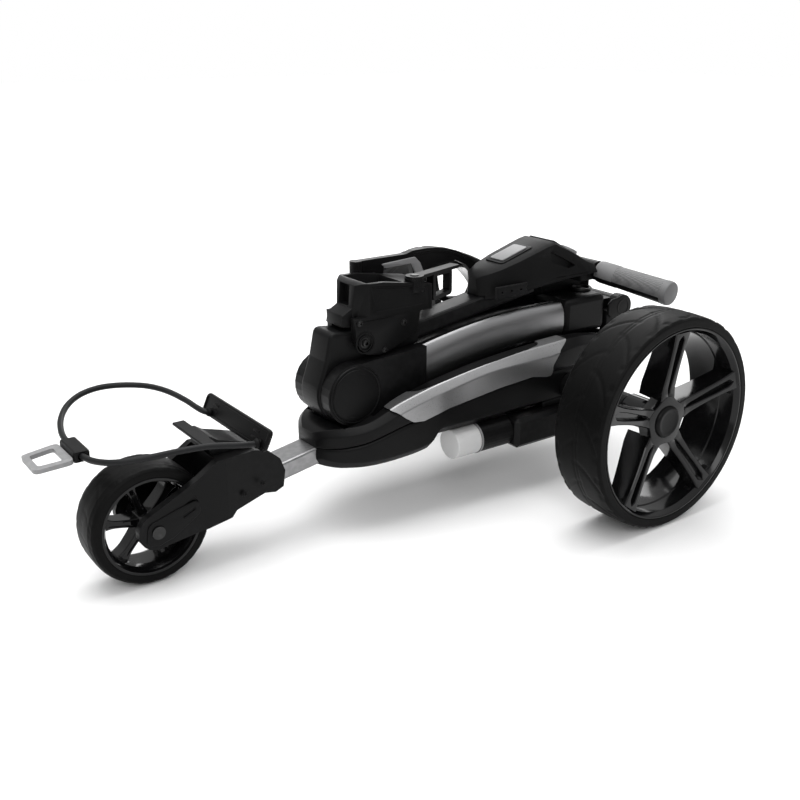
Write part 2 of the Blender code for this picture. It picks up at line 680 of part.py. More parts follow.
def rear_axle():
    reach = REAR_FACE - 0.0228
    rod("rear_axle", (0, -reach, AXLE_Z), (0, reach, AXLE_Z), AXLE_R, STEEL, 20)
    turned(
        "worm_wheel",
        [(0.0412, 0.0055), (0.0400, 0.0), (0.0412, -0.0055), (AXLE_R + GAP, -0.0055), (AXLE_R + GAP, 0.0055)],
        (0, MOTOR_Y, AXLE_Z),
        (0, -1, 0),
        BRONZE,
        24,
    )
    for side, sign in SIDES:
        start = 0.0872 if sign < 0 else 0.0712
        tube = rod("axle_tube_" + side, (0, sign * start, AXLE_Z), (0, sign * 0.2060, AXLE_Z), 0.0190, BLACK)
        way = rod("axle_tube_way_" + side, (0, sign * 0.05, AXLE_Z), (0, sign * 0.2000, AXLE_Z), 0.0110, BLACK)
        race = rod("race_way_" + side, (0, sign * 0.1960, AXLE_Z), (0, sign * 0.2200, AXLE_Z), 0.0134, BLACK)
        cut(tube, way, race)
        turned(
            "axle_bearing_" + side,
            [(0.0130, 0.0090), (0.0130, 0.0), (AXLE_R + GAP, 0.0), (AXLE_R + GAP, 0.0090)],
            (0, sign * 0.1965, AXLE_Z),
            (0, sign, 0),
            STEEL,
            24,
        )


def hinge_brackets():
    for side, sign in SIDES:
        outline = arc(FRAME_PIVOT, 0.0195, -35, 195, 12)
        outline += [(0.1190, 0.2150), (0.1190, 0.2000), (0.1340, 0.2000)]
        bracket = prism("hinge_bracket_" + side, [outline], sign * 0.0394, 0.0066, BLACK)
        way = rod(
            "bracket_way_" + side,
            (FRAME_PIVOT[0], sign * 0.02, FRAME_PIVOT[1]),
            (FRAME_PIVOT[0], sign * 0.06, FRAME_PIVOT[1]),
            0.0044,
            BLACK,
            16,
        )
        cut(bracket, way)
    rod(
        "frame_pivot_pin",
        (FRAME_PIVOT[0], -0.0480, FRAME_PIVOT[1]),
        (FRAME_PIVOT[0], 0.0480, FRAME_PIVOT[1]),
        0.0040,
        STEEL,
        16,
    )


# ---------------------------------------------------------------- frame


def frame_spine():
    """The black backbone: two hinge housings at the front, and a channel between the rails."""
    sleeve_outline = arc(STEM_PIVOT, HOUSING_R, 78, 296, 16)
    sleeve_outline += [(RAIL_START, 0.1755), (RAIL_START, 0.2375)]
    spine = prism("frame_spine", [sleeve_outline], 0.0, FRAME_HALF, BLACK)
    xs = [-0.26 + 0.05 * i for i in range(6)] + [RAIL_END]
    top = [(x, rail_middle(x) + rail_half(x) + 0.0005) for x in xs]
    low = [(x, rail_middle(x) - rail_half(x) + 0.004) for x in xs]
    core = prism("spine_core", [low + top[::-1]], 0.0, RAIL_INNER - GAP, BLACK)
    tail = box("spine_tail", (0.0, -0.0200, 0.2200), (0.0600, 0.0200, 0.2450), BLACK)
    slot = box("knuckle_slot", (-0.42, -SLOT_HALF, 0.12), (-0.2980, SLOT_HALF, 0.26), BLACK)
    floor = [(-0.300, 0.2160), (-0.2345, 0.2250)] + [(x, z - 0.012) for x, z in top[1:]]
    floor += [(RAIL_END + 0.01, 0.2480), (RAIL_END + 0.01, 0.30), (-0.300, 0.30)]
    channel = prism("stem_channel", [floor], 0.0, SLOT_HALF, BLACK)
    x, z = STEM_PIVOT
    pin_way = rod("stem_pin_way", (x, -0.06, z), (x, 0.06, z), 0.0084, BLACK, 20)
    unite(spine, core)
    cut(spine, slot, channel, pin_way)
    unite(spine, tail)
    for side, sign in SIDES:
        face = sign * (FRAME_HALF + GAP)
        turned(
            "hinge_cap_" + side,
            [(0.0400, 0.0), (0.0400, 0.0012), (0.0375, 0.0028), (0.0, 0.0036), (0.0, 0.0)][::-1],
            (x, face, z),
            (0, sign, 0),
            BLACK,
            40,
        )
    rod("stem_pivot_pin", (x, -FRAME_HALF, z), (x, FRAME_HALF, z), 0.0080, STEEL, 20)


def frame_rail(side, sign):
    xs = [RAIL_START + GAP + (RAIL_END - RAIL_START - GAP) * i / 8 for i in range(9)]
    top = [(x, rail_middle(x) + rail_half(x)) for x in xs]
    low = [(x, rail_middle(x) - rail_half(x)) for x in xs]
    half = (FRAME_HALF - RAIL_INNER) / 2
    rail = prism("frame_rail_" + side, [low + top[::-1]], sign * (RAIL_INNER + half), half, GUNMETAL)
    bevel(rail, 0.004, 2)


def rear_collar():
    collar = box("rear_collar", (RAIL_END + GAP, -0.0460, 0.2055), (0.1130, 0.0460, 0.2625), BLACK, 0.009, 3)
    neck = box("collar_neck", (0.1000, -0.0320, 0.2200), (0.1460, 0.0320, 0.2490), BLACK)
    knuckle = rod(
        "collar_knuckle",
        (FRAME_PIVOT[0], -0.0320, FRAME_PIVOT[1]),
        (FRAME_PIVOT[0], 0.0320, FRAME_PIVOT[1]),
        0.0160,
        BLACK,
        28,
    )
    socket = box("collar_socket", (-0.02, -0.0204, 0.2196), (0.0606, 0.0204, 0.2454), BLACK)
    pin_way = rod(
        "frame_pin_way",
        (FRAME_PIVOT[0], -0.06, FRAME_PIVOT[1]),
        (FRAME_PIVOT[0], 0.06, FRAME_PIVOT[1]),
        0.0044,
        BLACK,
        16,
    )
    button_way = rod("button_way", (0.092, 0, 0.2545), (0.092, 0, 0.28), 0.0186, BLACK, 32)
    cut(unite(collar, neck, knuckle), socket, pin_way, button_way)
    rod("release_button", (0.092, 0, 0.2585), (0.092, 0, 0.2665), 0.0180, STEEL, 32)


# ---------------------------------------------------------------- stem


def stem():
    outline = arc(STEM_PIVOT, KNUCKLE_R, 165, 360, 16)
    outline += [(-0.3000, 0.2285), (-0.2320, 0.2362), (-0.2320, 0.2735), (-0.2400, 0.2865)]
    outline += [(-0.3300, 0.2865), (-0.3410, 0.2705), (-0.3760, 0.2745), (-0.3840, 0.2360)]
    knuckle = prism("stem_knuckle", [outline], 0.0, KNUCKLE_HALF, BLACK)
    x, z = STEM_PIVOT
    pin_way = rod("knuckle_pin_way", (x, -0.06, z), (x, 0.06, z), 0.0084, BLACK, 20)
    socket = prism(
        "stem_socket",
        [rectangle(STEM_WIDTH + 2 * GAP, STEM_HEIGHT + 2 * GAP)],
        0.0,
        0.040,
        BLACK,
        "front",
    )
    socket.location = (-0.2500, 0, stem_height(-0.2500))
    turn_about_y(socket, STEM_ANGLE, socket.location)
    cut(knuckle, pin_way, socket)

    outer = filleted(rectangle(STEM_WIDTH, STEM_HEIGHT), 0.006, 3)
    inner = rectangle(STEM_WIDTH - 0.006, STEM_HEIGHT - 0.006)
    tube = prism("stem_tube", [outer, inner[::-1]], 0.0, 0.1360, BLACK, "front")
    tube.location = (-0.1520, 0, stem_height(-0.1520))
    turn_about_y(tube, STEM_ANGLE, tube.location)


def bag_support():
    outline = [(-0.3690, 0.2785), (-0.3435, 0.2745), (-0.3320, 0.2870), (-0.2205, 0.2870), (-0.2205, 0.3220)]
    outline += [(-0.2612, 0.3282), (-0.3000, 0.3345), (-0.3300, 0.3350), (-0.3425, 0.3320), (-0.3460, 0.3010)]
    casting = prism("bag_support", [outline + [(-0.3650, 0.2930)]], 0.0, 0.0360, BLACK)
    for side, sign in SIDES:
        corner = [(-0.3460, 0.0190), (-0.3230, 0.0370), (-0.3230, 0.05), (-0.40, 0.05), (-0.40, 0.0190)]
        corner = [(x, sign * y) for x, y in corner]
        cut(casting, prism("casting_corner_" + side, [corner], 0.31, 0.06, BLACK, "plan"))
        cheek = [(-0.3540, 0.2900), (-0.3520, 0.2560), (-0.3320, 0.2400), (-0.3080, 0.2362), (-0.2942, 0.2378)]
        cheek += [(-0.2744, 0.2469), (-0.2441, 0.2602), (-0.2400, 0.2900)]
        unite(casting, prism("casting_cheek_" + side, [cheek], sign * 0.0300, 0.0060, BLACK))
    seat = rod("arm_seat", (*ARM_LEFT, 0.3125), (*ARM_LEFT, 0.36), 0.0134, BLACK, 24)
    cut(casting, seat)
    lug = box("arm_lug", (-0.3010, 0.0300, 0.3000), (-0.2790, 0.0580, 0.3130), BLACK, 0.003, 1)
    unite(casting, lug)
    pocket = box("front_pocket", (-0.36, -0.0100, 0.3030), (-0.3300, 0.0140, 0.3310), BLACK)
    well = box("casting_well", (-0.3250, -0.0290, 0.3050), (-0.2650, 0.0280, 0.36), BLACK)
    cut(casting, pocket, well)
    bag_arm_left()
    bag_arm_right()


def bag_arm_left():
    """Swings out on the left: a flat bar with a padded loop under it."""
    pivot = ARM_LEFT
    boss = rod("bag_arm_left", (*pivot, 0.3130), (*pivot, 0.3345), 0.0128, BLACK, 24)
    bar = box("arm_bar_left", (-0.243, -0.0340, 0.3300), (-0.1500, -0.0180, 0.3345), BLACK)
    loop = prism(
        "arm_loop_left",
        [
            filleted([(-0.2080, 0.2920), (-0.1640, 0.2950), (-0.1640, 0.3315), (-0.2080, 0.3315)], 0.005, 2),
            [(-0.2020, 0.2985), (-0.2020, 0.3260), (-0.1700, 0.3260), (-0.1700, 0.3010)],
        ],
        -0.0260,
        0.0060,
        BLACK,
    )
    there = Matrix.Translation((*pivot, 0))
    turn = there @ Matrix.Rotation(math.radians(16), 4, "Z") @ there.inverted()
    bpy.context.view_layer.update()
    for piece in (bar, loop):
        piece.matrix_world = turn @ piece.matrix_world
    unite(boss, bar, loop)


def bag_arm_right():
    """Swings out on the right: a bar with a small window, then an arched loop."""
    x, y = ARM_RIGHT
    boss = rod("bag_arm_right", (x, y, 0.3135), (x, y, 0.3470), 0.0085, BLACK, 20)
    outline = [(x, 0.3280), (-0.2620, 0.3280), (-0.2540, 0.3080), (-0.1960, 0.3060), (-0.1800, 0.2900)]
    outline += [(-0.1300, 0.2640), (-0.1000, 0.2620), (-0.0850, 0.2690), (-0.0760, 0.2850), (-0.0740, 0.3050)]
    outline += [(-0.0800, 0.3200), (-0.0960, 0.3318), (-0.1155, 0.3416), (-0.1345, 0.3475), (-0.1530, 0.3506)]
    outline += [(-0.1708, 0.3518), (-0.1955, 0.3512), (-0.2080, 0.3475), (x, 0.3470)]
    small = [(-0.2480, 0.3140), (-0.1935, 0.3140), (-0.1985, 0.3345), (-0.2460, 0.3345)]
    large = [(-0.1740, 0.3180), (-0.1700, 0.2960), (-0.1300, 0.2730), (-0.1050, 0.2700), (-0.0900, 0.2730)]
    large += [(-0.0830, 0.2849), (-0.0854, 0.3054), (-0.0992, 0.3193), (-0.1184, 0.3277), (-0.1463, 0.3283)]
    unite(boss, prism("arm_loop_right", [outline, small, large], y, 0.0055, BLACK))


# Head stations: x, half width at the bottom, half width at the top, bottom, top
HEAD = [
    (-0.1200, 0.0110, 0.0080, 0.2790, 0.3120),
    (-0.1150, 0.0185, 0.0150, 0.2775, 0.3165),
    (-0.1060, 0.0265, 0.0225, 0.2780, 0.3200),
    (-0.0900, 0.0340, 0.0290, 0.2800, 0.3250),
    (-0.0600, 0.0390, 0.0340, 0.2840, 0.3340),
    (-0.0050, 0.0410, 0.0360, 0.2895, 0.3500),
    (0.0080, 0.0420, 0.0365, 0.2910, 0.3520),
    (0.0400, 0.0440, 0.0380, 0.2945, 0.3370),
    (0.0700, 0.0460, 0.0390, 0.2955, 0.3200),
    (0.0900, 0.0450, 0.0390, 0.2960, 0.3120),
]


def head_ring(x, low_half, high_half, bottom, top, start, end):
    """A slice of the head from start to end, as shares of its height."""
    soft = 0.006
    low, high = bottom + (top - bottom) * start, bottom + (top - bottom) * end
    low_y = low_half + (high_half - low_half) * start
    high_y = low_half + (high_half - low_half) * end
    ring = [(-low_y + soft, low), (low_y - soft, low), (low_y, low + soft / 2), (high_y, high - soft / 2)]
    ring += [(high_y - soft, high), (-high_y + soft, high), (-high_y, high - soft / 2), (-low_y, low + soft / 2)]
    return [(x, y, z) for y, z in ring]


REAR_SLOPE = math.atan2(0.3370 - 0.3200, 0.030)


def head():
    shell = loft("head_housing", [head_ring(*station, 0.0, 1.0) for station in HEAD], BLACK)
    neck = box("head_neck", (0.0700, -0.0300, 0.2820), (0.1140, 0.0300, 0.3080), BLACK, 0.004, 2)
    bore = rectangle(STEM_WIDTH + 2 * GAP, STEM_HEIGHT + 2 * GAP)
    hollow = prism("stem_way", [bore], 0.0, 0.0700, BLACK, "front")
    hollow.location = (-0.0850, 0, stem_height(-0.0850))
    turn_about_y(hollow, STEM_ANGLE, hollow.location)
    bar_way = rod("bar_way", (HANDLE_X, -0.05, HANDLE_Z), (HANDLE_X, 0.05, HANDLE_Z), 0.0155, BLACK, 24)
    cut(unite(shell, neck), bar_way, hollow)

    slope_point = Vector((0.0290, 0, 0.3424))
    screen = box("display_screen", (-0.0190, -0.0260, -0.0010), (0.0190, 0.0260, 0.0016), GLASS, 0.0008, 1)
    recess = box("screen_recess", (-0.0194, -0.0264, -0.0014), (0.0194, 0.0264, 0.02), GLASS)
    dial_point = Vector((0.0660, 0, 0.3226))
    dial = rod("speed_dial", (0, 0, -0.0040), (0, 0, 0.0080), 0.0150, GREY, 32)
    dial_hole = rod("dial_hole", (0, 0, -0.02), (0, 0, 0.02), 0.0084, GREY, 24)
    dial_room = rod("dial_room", (0, 0, -0.0070), (0, 0, 0.03), 0.0154, GREY, 32)
    button = rod("dial_button", (0, 0, -0.0035), (0, 0, 0.0090), 0.0080, BLACK, 24)
    tilt = Matrix.Rotation(REAR_SLOPE, 4, "Y")
    bpy.context.view_layer.update()
    for piece, point in (
        (screen, slope_point),
        (recess, slope_point),
        (dial, dial_point),
        (dial_hole, dial_point),
        (dial_room, dial_point),
        (button, dial_point),
    ):
        piece.matrix_world = Matrix.Translation(point) @ tilt @ piece.matrix_world
    cut(dial, dial_hole)
    cut(shell, recess, dial_room)


def accessory_plate():
    """A flat plate with three fixing holes on the left of the head."""
    plate = box("accessory_plate", (-0.1120, -0.0435, 0.2840), (-0.0520, -0.0405, 0.3020), BLACK, 0.001, 1)
    for x in (-0.1000, -0.0820, -0.0640):
        cut(plate, rod("plate_hole", (x, -0.05, 0.2930), (x, -0.03, 0.2930), 0.0017, BLACK, 12))


def hang(name, place, pieces):
    """An empty on a joint's axis, with its pieces parented to it where they are."""
    empty = bpy.data.objects.new(name, None)
    empty.empty_display_size = 0.03
    PARTS.objects.link(empty)
    empty.location = place
    bpy.context.view_layer.update()
    for piece in pieces:
        child = bpy.data.objects[piece]
        child.parent = empty
        child.matrix_parent_inverse = empty.matrix_world.inverted()
    return empty


def assemble():
    """Groups the pieces by joint, and hangs everything on the root."""
    x, z = FRAME_PIVOT
    stem_x, stem_z = STEM_PIVOT
    dial = (0.0660, 0, 0.3226)
    groups = [
        hang("front_wheel_joint", (-WHEELBASE, 0, FRONT_Z), ["front_tyre", "front_rim"]),
        hang("axle_joint", (0, 0, AXLE_Z), ["rear_axle", "worm_wheel"]),
        hang("worm_joint", (-0.1, MOTOR_Y, MOTOR_Z), ["drive_worm"]),
    ]
    for side, sign in SIDES:
        wheel = [part + side for part in ("rear_tyre_", "rear_rim_", "rear_hub_cap_")]
        groups.append(hang("rear_wheel_joint_" + side, (0, sign * 0.25, AXLE_Z), wheel))
    frame = ["frame_spine", "frame_rail_left", "frame_rail_right", "rear_collar", "release_button"]
    frame += ["hinge_cap_left", "hinge_cap_right", "stem_pivot_pin"]
    groups.append(hang("frame_joint", (x, 0, z), frame))
    stem_pieces = ["stem_knuckle", "stem_tube", "bag_support", "head_housing", "accessory_plate"]
    stem_pieces += ["display_screen", "handle_bar", "grip_left", "grip_right"]
    stem_joint = hang("stem_joint", (stem_x, 0, stem_z), stem_pieces)
    for name, place, piece in (
        ("arm_joint_left", (*ARM_LEFT, 0.33), "bag_arm_left"),
        ("arm_joint_right", (*ARM_RIGHT, 0.33), "bag_arm_right"),
        ("dial_joint", dial, "speed_dial"),
        ("dial_button_joint", dial, "dial_button"),
    ):
        joint = hang(name, place, [piece])
        joint.parent = stem_joint
        joint.matrix_parent_inverse = stem_joint.matrix_world.inverted()
    groups.append(stem_joint)
    root = bpy.data.objects.new("trolley_root", None)
    PARTS.objects.link(root)
    loose = [piece for piece in PARTS.objects if piece.parent is None and piece is not root]
    cutters = [cutter for cutter in CUTTERS.objects if cutter.parent is None]
    for piece in loose + cutters:
        piece.parent = root
    root.location = (MIDDLE_X, 0, RISE)


def handle():
    """A cross bar through the head's neck, with a grip on each end."""
    bar = rod("handle_bar", (HANDLE_X, -0.0300, HANDLE_Z), (HANDLE_X, 0.0300, HANDLE_Z), 0.0150, BLACK, 24)
    root = Vector((HANDLE_X, 0.0300, HANDLE_Z))
    for side, sign in SIDES:
        out = Vector((HANDLE_SWEEP, sign, -HANDLE_DROOP))
        middle = Vector((root.x, sign * root.y, root.z))
        tip = middle + out * (HANDLE_HALF - 0.0300 - 0.0120)
        unite(bar, rod("bar_stub_" + side, middle - out * 0.0020, tip, 0.0080, BLACK, 16))
        start = middle + out * 0.0030
        end = middle + out * (HANDLE_HALF - 0.0300)
        length = (end - start).length
        turned(
            "grip_" + side,
            [
                (0.0125, length),
                (0.0148, length - 0.0020),
                (0.0156, length - 0.0060),
                (0.0158, 0.0),
                (0.0086, 0.0),
                (0.0086, length - 0.0110),
                (0.0, length - 0.0110),
                (0.0, length),
            ],
            start,
            end - start,
            GRIP,
            28,
        )


front_fork()
front_tube()
lower_cradle()
strap()
strap_pull()
chassis_tray()
chassis_cowl()
battery()
drive()
rear_axle()
hinge_brackets()
front_wheel()
for side_name, side_sign in SIDES:
    side_accent(side_name, side_sign)
    rear_wheel(side_name, side_sign)
    frame_rail(side_name, side_sign)
frame_spine()
rear_collar()
stem()
bag_support()
head()
accessory_plate()
handle()
assemble()
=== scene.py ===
"""Looks of the folded electric golf trolley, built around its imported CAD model."""

import json
import math

import bmesh
import bpy
from mathutils import Matrix, Vector


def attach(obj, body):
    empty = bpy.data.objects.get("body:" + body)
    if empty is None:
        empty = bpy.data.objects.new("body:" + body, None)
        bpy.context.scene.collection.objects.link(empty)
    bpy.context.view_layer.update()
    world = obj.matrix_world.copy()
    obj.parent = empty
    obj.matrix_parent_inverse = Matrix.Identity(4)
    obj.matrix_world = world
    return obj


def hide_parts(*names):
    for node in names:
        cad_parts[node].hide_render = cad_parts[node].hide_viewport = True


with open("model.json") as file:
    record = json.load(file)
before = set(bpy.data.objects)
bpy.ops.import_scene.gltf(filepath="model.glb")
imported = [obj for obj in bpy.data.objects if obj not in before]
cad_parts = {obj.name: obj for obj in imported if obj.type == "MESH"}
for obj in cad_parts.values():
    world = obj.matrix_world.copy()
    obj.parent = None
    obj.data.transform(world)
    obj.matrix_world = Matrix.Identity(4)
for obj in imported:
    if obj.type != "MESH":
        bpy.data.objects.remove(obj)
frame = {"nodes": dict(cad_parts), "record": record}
NODES = frame["nodes"]
# Shapes below are measured from the rear axle, this far behind and above the frame's origin
SHIFT = Vector((0.2755, 0, 0.004))
SIDES = (("left", -1), ("right", 1))
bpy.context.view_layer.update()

# ---- camera


def new_object(name, data):
    made = bpy.data.objects.new(name, data)
    bpy.context.scene.collection.objects.link(made)
    return made


def look_along(made, direction):
    made.rotation_mode = "QUATERNION"
    made.rotation_quaternion = direction.to_track_quat("-Z", "Y")


LENS_MM, SENSOR_MM = 45.29, 36.0
EYE = Vector((-1.03482, -1.1012, 0.64131))
TARGET = Vector((-0.24866, 0, 0.14854))

camera_data = bpy.data.cameras.new("camera")
camera_data.lens = LENS_MM
camera_data.sensor_width = SENSOR_MM
camera_data.clip_start, camera_data.clip_end = 0.05, 50.0
camera = new_object("camera", camera_data)
camera.location = EYE + SHIFT
look_along(camera, TARGET + SHIFT - camera.location)
bpy.context.scene.camera = camera
bpy.context.scene.view_settings.view_transform = "Standard"

# ---- strap

STRAP_R = 0.004
STRAP_ROUTE = [
    (-0.5142, 0.064, 0.169), (-0.52, 0.0675, 0.17), (-0.5245, 0.082, 0.1725), (-0.529, 0.104, 0.1765),
    (-0.54, 0.137, 0.182), (-0.558, 0.163, 0.186), (-0.585, 0.181, 0.188), (-0.615, 0.19, 0.188),
    (-0.645, 0.183, 0.186), (-0.67, 0.164, 0.181), (-0.688, 0.136, 0.1745), (-0.6975, 0.106, 0.169),
    (-0.7, 0.08, 0.166), (-0.7, 0.049, 0.165), (-0.6995, 0.018, 0.166), (-0.694, -0.008, 0.168),
    (-0.678, -0.033, 0.1715), (-0.645, -0.049, 0.175), (-0.608, -0.054, 0.176), (-0.572, -0.06, 0.1755),
    (-0.54, -0.069, 0.1722), (-0.525, -0.0705, 0.17), (-0.5142, -0.071, 0.169),
]


def smooth_route(points, steps):
    """Points on a smooth curve through the given ones."""
    points = [Vector(point) for point in points]
    result = []
    for i in range(len(points) - 1):
        a, b = points[i], points[i + 1]
        before = points[i - 1] if i else a - (b - a)
        after = points[i + 2] if i + 2 < len(points) else b + (b - a)
        for k in range(steps):
            t = k / steps
            bend = (2 * before - 5 * a + 4 * b - after) * t**2 + (3 * a - before - 3 * b + after) * t**3
            result.append((2 * a + (b - before) * t + bend) / 2)
    return result + [points[-1]]


strap_points = [point + SHIFT for point in smooth_route(STRAP_ROUTE, 6)]
strap_curve = bpy.data.curves.new("elastic_strap", "CURVE")
strap_curve.dimensions = "3D"
strap_curve.bevel_depth = 1.0  # times each point's radius
strap_curve.bevel_resolution = 6
strap_curve.use_fill_caps = True
strap_spline = strap_curve.splines.new("POLY")
strap_spline.points.add(len(strap_points) - 1)
for spline_point, place in zip(strap_spline.points, strap_points):
    spline_point.co = (*place, 1)
    spline_point.radius = STRAP_R
strap_spline.use_smooth = True
strap = new_object("elastic_strap", strap_curve)
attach(strap, "chassis")
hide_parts("strap_cord")

# ---- floor and light


class Nodes:
    """Short names for building a node tree."""

    def __init__(self, tree):
        self.tree = tree

    def new(self, kind, **values):
        node = self.tree.nodes.new(kind)
        for key, value in values.items():
            if key in node.inputs:
                node.inputs[key].default_value = value
            else:
                setattr(node, key, value)
        return node

    def link(self, source, target):
        self.tree.links.new(source, target)

    def ramp(self, source, low, high, from_low=0.3, from_high=0.7):
        """A value mapped from one range to another and held inside it."""
        limits = {"From Min": from_low, "From Max": from_high, "To Min": low, "To Max": high}
        node = self.new("ShaderNodeMapRange", **limits)
        self.link(source, node.inputs["Value"])
        return node.outputs["Result"]

    def math(self, operation, first, second):
        node = self.new("ShaderNodeMath", operation=operation)
        for socket, value in zip(node.inputs, (first, second)):
            if isinstance(value, (int, float)):
                socket.default_value = value
            else:
                self.link(value, socket)
        return node.outputs["Value"]


def studio_world():
    """The camera sees plain white; the object is lit from a room that is dimmer towards the floor."""
    world = bpy.data.worlds.new("studio")
    bpy.context.scene.world = world
    world.use_nodes = True
    sky = Nodes(world.node_tree)
    white = sky.tree.nodes["Background"]
    white.inputs["Color"].default_value = (1, 1, 1, 1)
    upward = sky.new("ShaderNodeSeparateXYZ")
    sky.link(sky.new("ShaderNodeTexCoord").outputs["Generated"], upward.inputs["Vector"])
    shades = sky.new("ShaderNodeValToRGB")
    for stop, height, level in zip(shades.color_ramp.elements, (0.44, 0.8), (0.07, 1.0)):
        stop.position = height
        stop.color = (level, level, level, 1)
    sky.link(sky.ramp(upward.outputs["Z"], 0.0, 1.0, -1.0, 1.0), shades.inputs["Fac"])
    room = sky.new("ShaderNodeBackground")
    sky.link(shades.outputs["Color"], room.inputs["Color"])
    chooser = sky.new("ShaderNodeMixShader")
    sky.link(sky.new("ShaderNodeLightPath").outputs["Is Camera Ray"], chooser.inputs["Fac"])
    sky.link(room.outputs["Background"], chooser.inputs[1])
    sky.link(white.outputs["Background"], chooser.inputs[2])
    sky.link(chooser.outputs["Shader"], sky.tree.nodes["World Output"].inputs["Surface"])


def area_light(name, place, target, width, height, power):
    light = bpy.data.lights.new(name, "AREA")
    light.shape = "RECTANGLE"
    light.size, light.size_y, light.energy = width, height, power
    lamp = new_object(name, light)
    lamp.location = place
    look_along(lamp, Vector(target) - Vector(place))


studio_world()
area_light("overhead", (0.0, 0.2, 2.4), (0, 0, 0.1), 2.6, 1.8, 52)
area_light("left_key", (-1.3, -2.0, 1.9), (0, 0, 0.15), 1.3, 0.9, 16)
area_light("rear_rim", (1.5, 1.7, 1.3), (0, 0, 0.2), 1.4, 0.8, 14)

floor_mesh = bpy.data.meshes.new("floor")
floor_shape = bmesh.new()
bmesh.ops.create_grid(floor_shape, x_segments=1, y_segments=1, size=14)
floor_shape.to_mesh(floor_mesh)
floor_shape.free()
floor = new_object("floor", floor_mesh)
floor.location = (0, 0, -0.0004)

# ---- materials


class Surface(Nodes):
    """One material, with short names for what its look is made of."""

    def __init__(self, name):
        self.material = bpy.data.materials.new(name)
        self.material.use_nodes = True
        super().__init__(self.material.node_tree)
        self.shader = self.tree.nodes["Principled BSDF"]
        self.place = self.new("ShaderNodeTexCoord").outputs["Object"]

    def stretched(self, scale):
        mapping = self.new("ShaderNodeMapping", Scale=scale)
        self.link(self.place, mapping.inputs["Vector"])
        return mapping.outputs["Vector"]

    def noise(self, scale, detail=3.0, place=None, roughness=0.5):
        node = self.new("ShaderNodeTexNoise", Scale=scale, Detail=detail, Roughness=roughness)
        self.link(place or self.place, node.inputs["Vector"])
        return node.outputs["Fac"]

    def worn(self, start=0.53, end=0.62):
        """Bright along outer edges, broken up by small scratches."""
        edge = self.new("ShaderNodeNewGeometry").outputs["Pointiness"]
        patchy = self.ramp(self.noise(120.0, 4.0), 0.2, 1.0, 0.35, 0.65)
        return self.math("MULTIPLY", self.ramp(edge, 0.0, 1.0, start, end), patchy)

    def colour(self, source, dark, light):
        node = self.new("ShaderNodeMix", data_type="RGBA")
        node.inputs["A"].default_value = (*dark, 1)
        node.inputs["B"].default_value = (*light, 1)
        self.link(source, node.inputs["Factor"])
        self.link(node.outputs["Result"], self.shader.inputs["Base Color"])

    def rough(self, source, low, high):
        self.link(self.ramp(source, low, high), self.shader.inputs["Roughness"])

    def bump(self, source, depth, strength=1.0):
        node = self.new("ShaderNodeBump", Strength=strength, Distance=depth)
        self.link(source, node.inputs["Height"])
        self.link(node.outputs["Normal"], self.shader.inputs["Normal"])

    def set(self, **values):
        for key, value in values.items():
            self.shader.inputs[key.replace("_", " ")].default_value = value


def moulded(name, dark, light, roughness, grain, grain_depth, specular=0.5):
    """A moulded plastic: fine spark-eroded grain, cloudy sheen, and paler worn edges."""
    m = Surface(name)
    cloud = m.noise(11.0, 4.0)
    shade = m.math("MAXIMUM", m.ramp(cloud, 0.0, 0.45), m.worn())
    m.colour(shade, dark, light)
    m.rough(cloud, roughness - 0.05, roughness + 0.06)
    m.set(Specular_IOR_Level=specular)
    m.bump(m.noise(grain, 2.0), grain_depth)
    return m.material


def metal(name, dark, light, roughness, stretch, scale=260.0, metallic=1.0, depth=0.00001):
    """A brushed or anodised metal with its fine grain along the stretch's small axis."""
    m = Surface(name)
    streak = m.noise(scale, 5.0, m.stretched(stretch), 0.65)
    cloud = m.noise(7.0, 3.0)
    clouded = m.math("MULTIPLY", m.ramp(cloud, 0.0, 1.0), 0.6)
    blend = m.math("ADD", clouded, m.math("MULTIPLY", streak, 0.4))
    m.colour(m.math("MAXIMUM", blend, m.worn(0.54, 0.6)), dark, light)
    m.rough(streak, roughness - 0.04, roughness + 0.06)
    m.set(Metallic=metallic)
    m.bump(streak, depth, 0.4)
    return m.material


BLACK = moulded(
    "satin_black_plastic", (0.0022, 0.0022, 0.0023), (0.0065, 0.0065, 0.0068), 0.38, 1400.0, 0.00004, 0.11
)
SOFT_BLACK = moulded(
    "matt_black_plastic", (0.0025, 0.0025, 0.0026), (0.007, 0.007, 0.0073), 0.5, 1100.0, 0.00007, 0.1
)
RUBBER = moulded(
    "tyre_rubber", (0.0018, 0.0018, 0.0018), (0.0052, 0.0052, 0.0052), 0.48, 800.0, 0.00008, 0.07
)
CORD = moulded(
    "strap_rubber", (0.007, 0.0072, 0.0076), (0.016, 0.0165, 0.0175), 0.42, 900.0, 0.00006, 0.15
)
GREY = moulded("light_grey_plastic", (0.17, 0.17, 0.173), (0.24, 0.24, 0.243), 0.42, 1200.0, 0.00005)
SMOOTH_GRIP = moulded(
    "smooth_grip_rubber", (0.125, 0.125, 0.127), (0.175, 0.175, 0.177), 0.5, 900.0, 0.00005, 0.3
)
PANEL = moulded("inset_panel_grey", (0.105, 0.105, 0.107), (0.15, 0.15, 0.152), 0.4, 1200.0, 0.00004)
PALE = moulded("pale_motor_cap", (0.46, 0.46, 0.46), (0.56, 0.56, 0.56), 0.42, 1200.0, 0.00005)
BOARD = moulded("circuit_board", (0.01, 0.08, 0.03), (0.03, 0.14, 0.06), 0.45, 600.0, 0.00005)
GUNMETAL = metal(
    "gunmetal_aluminium", (0.2, 0.2, 0.203), (0.27, 0.27, 0.274), 0.34, (0.02, 1.0, 1.0),
    900.0, 1.0, 0.000002,
)
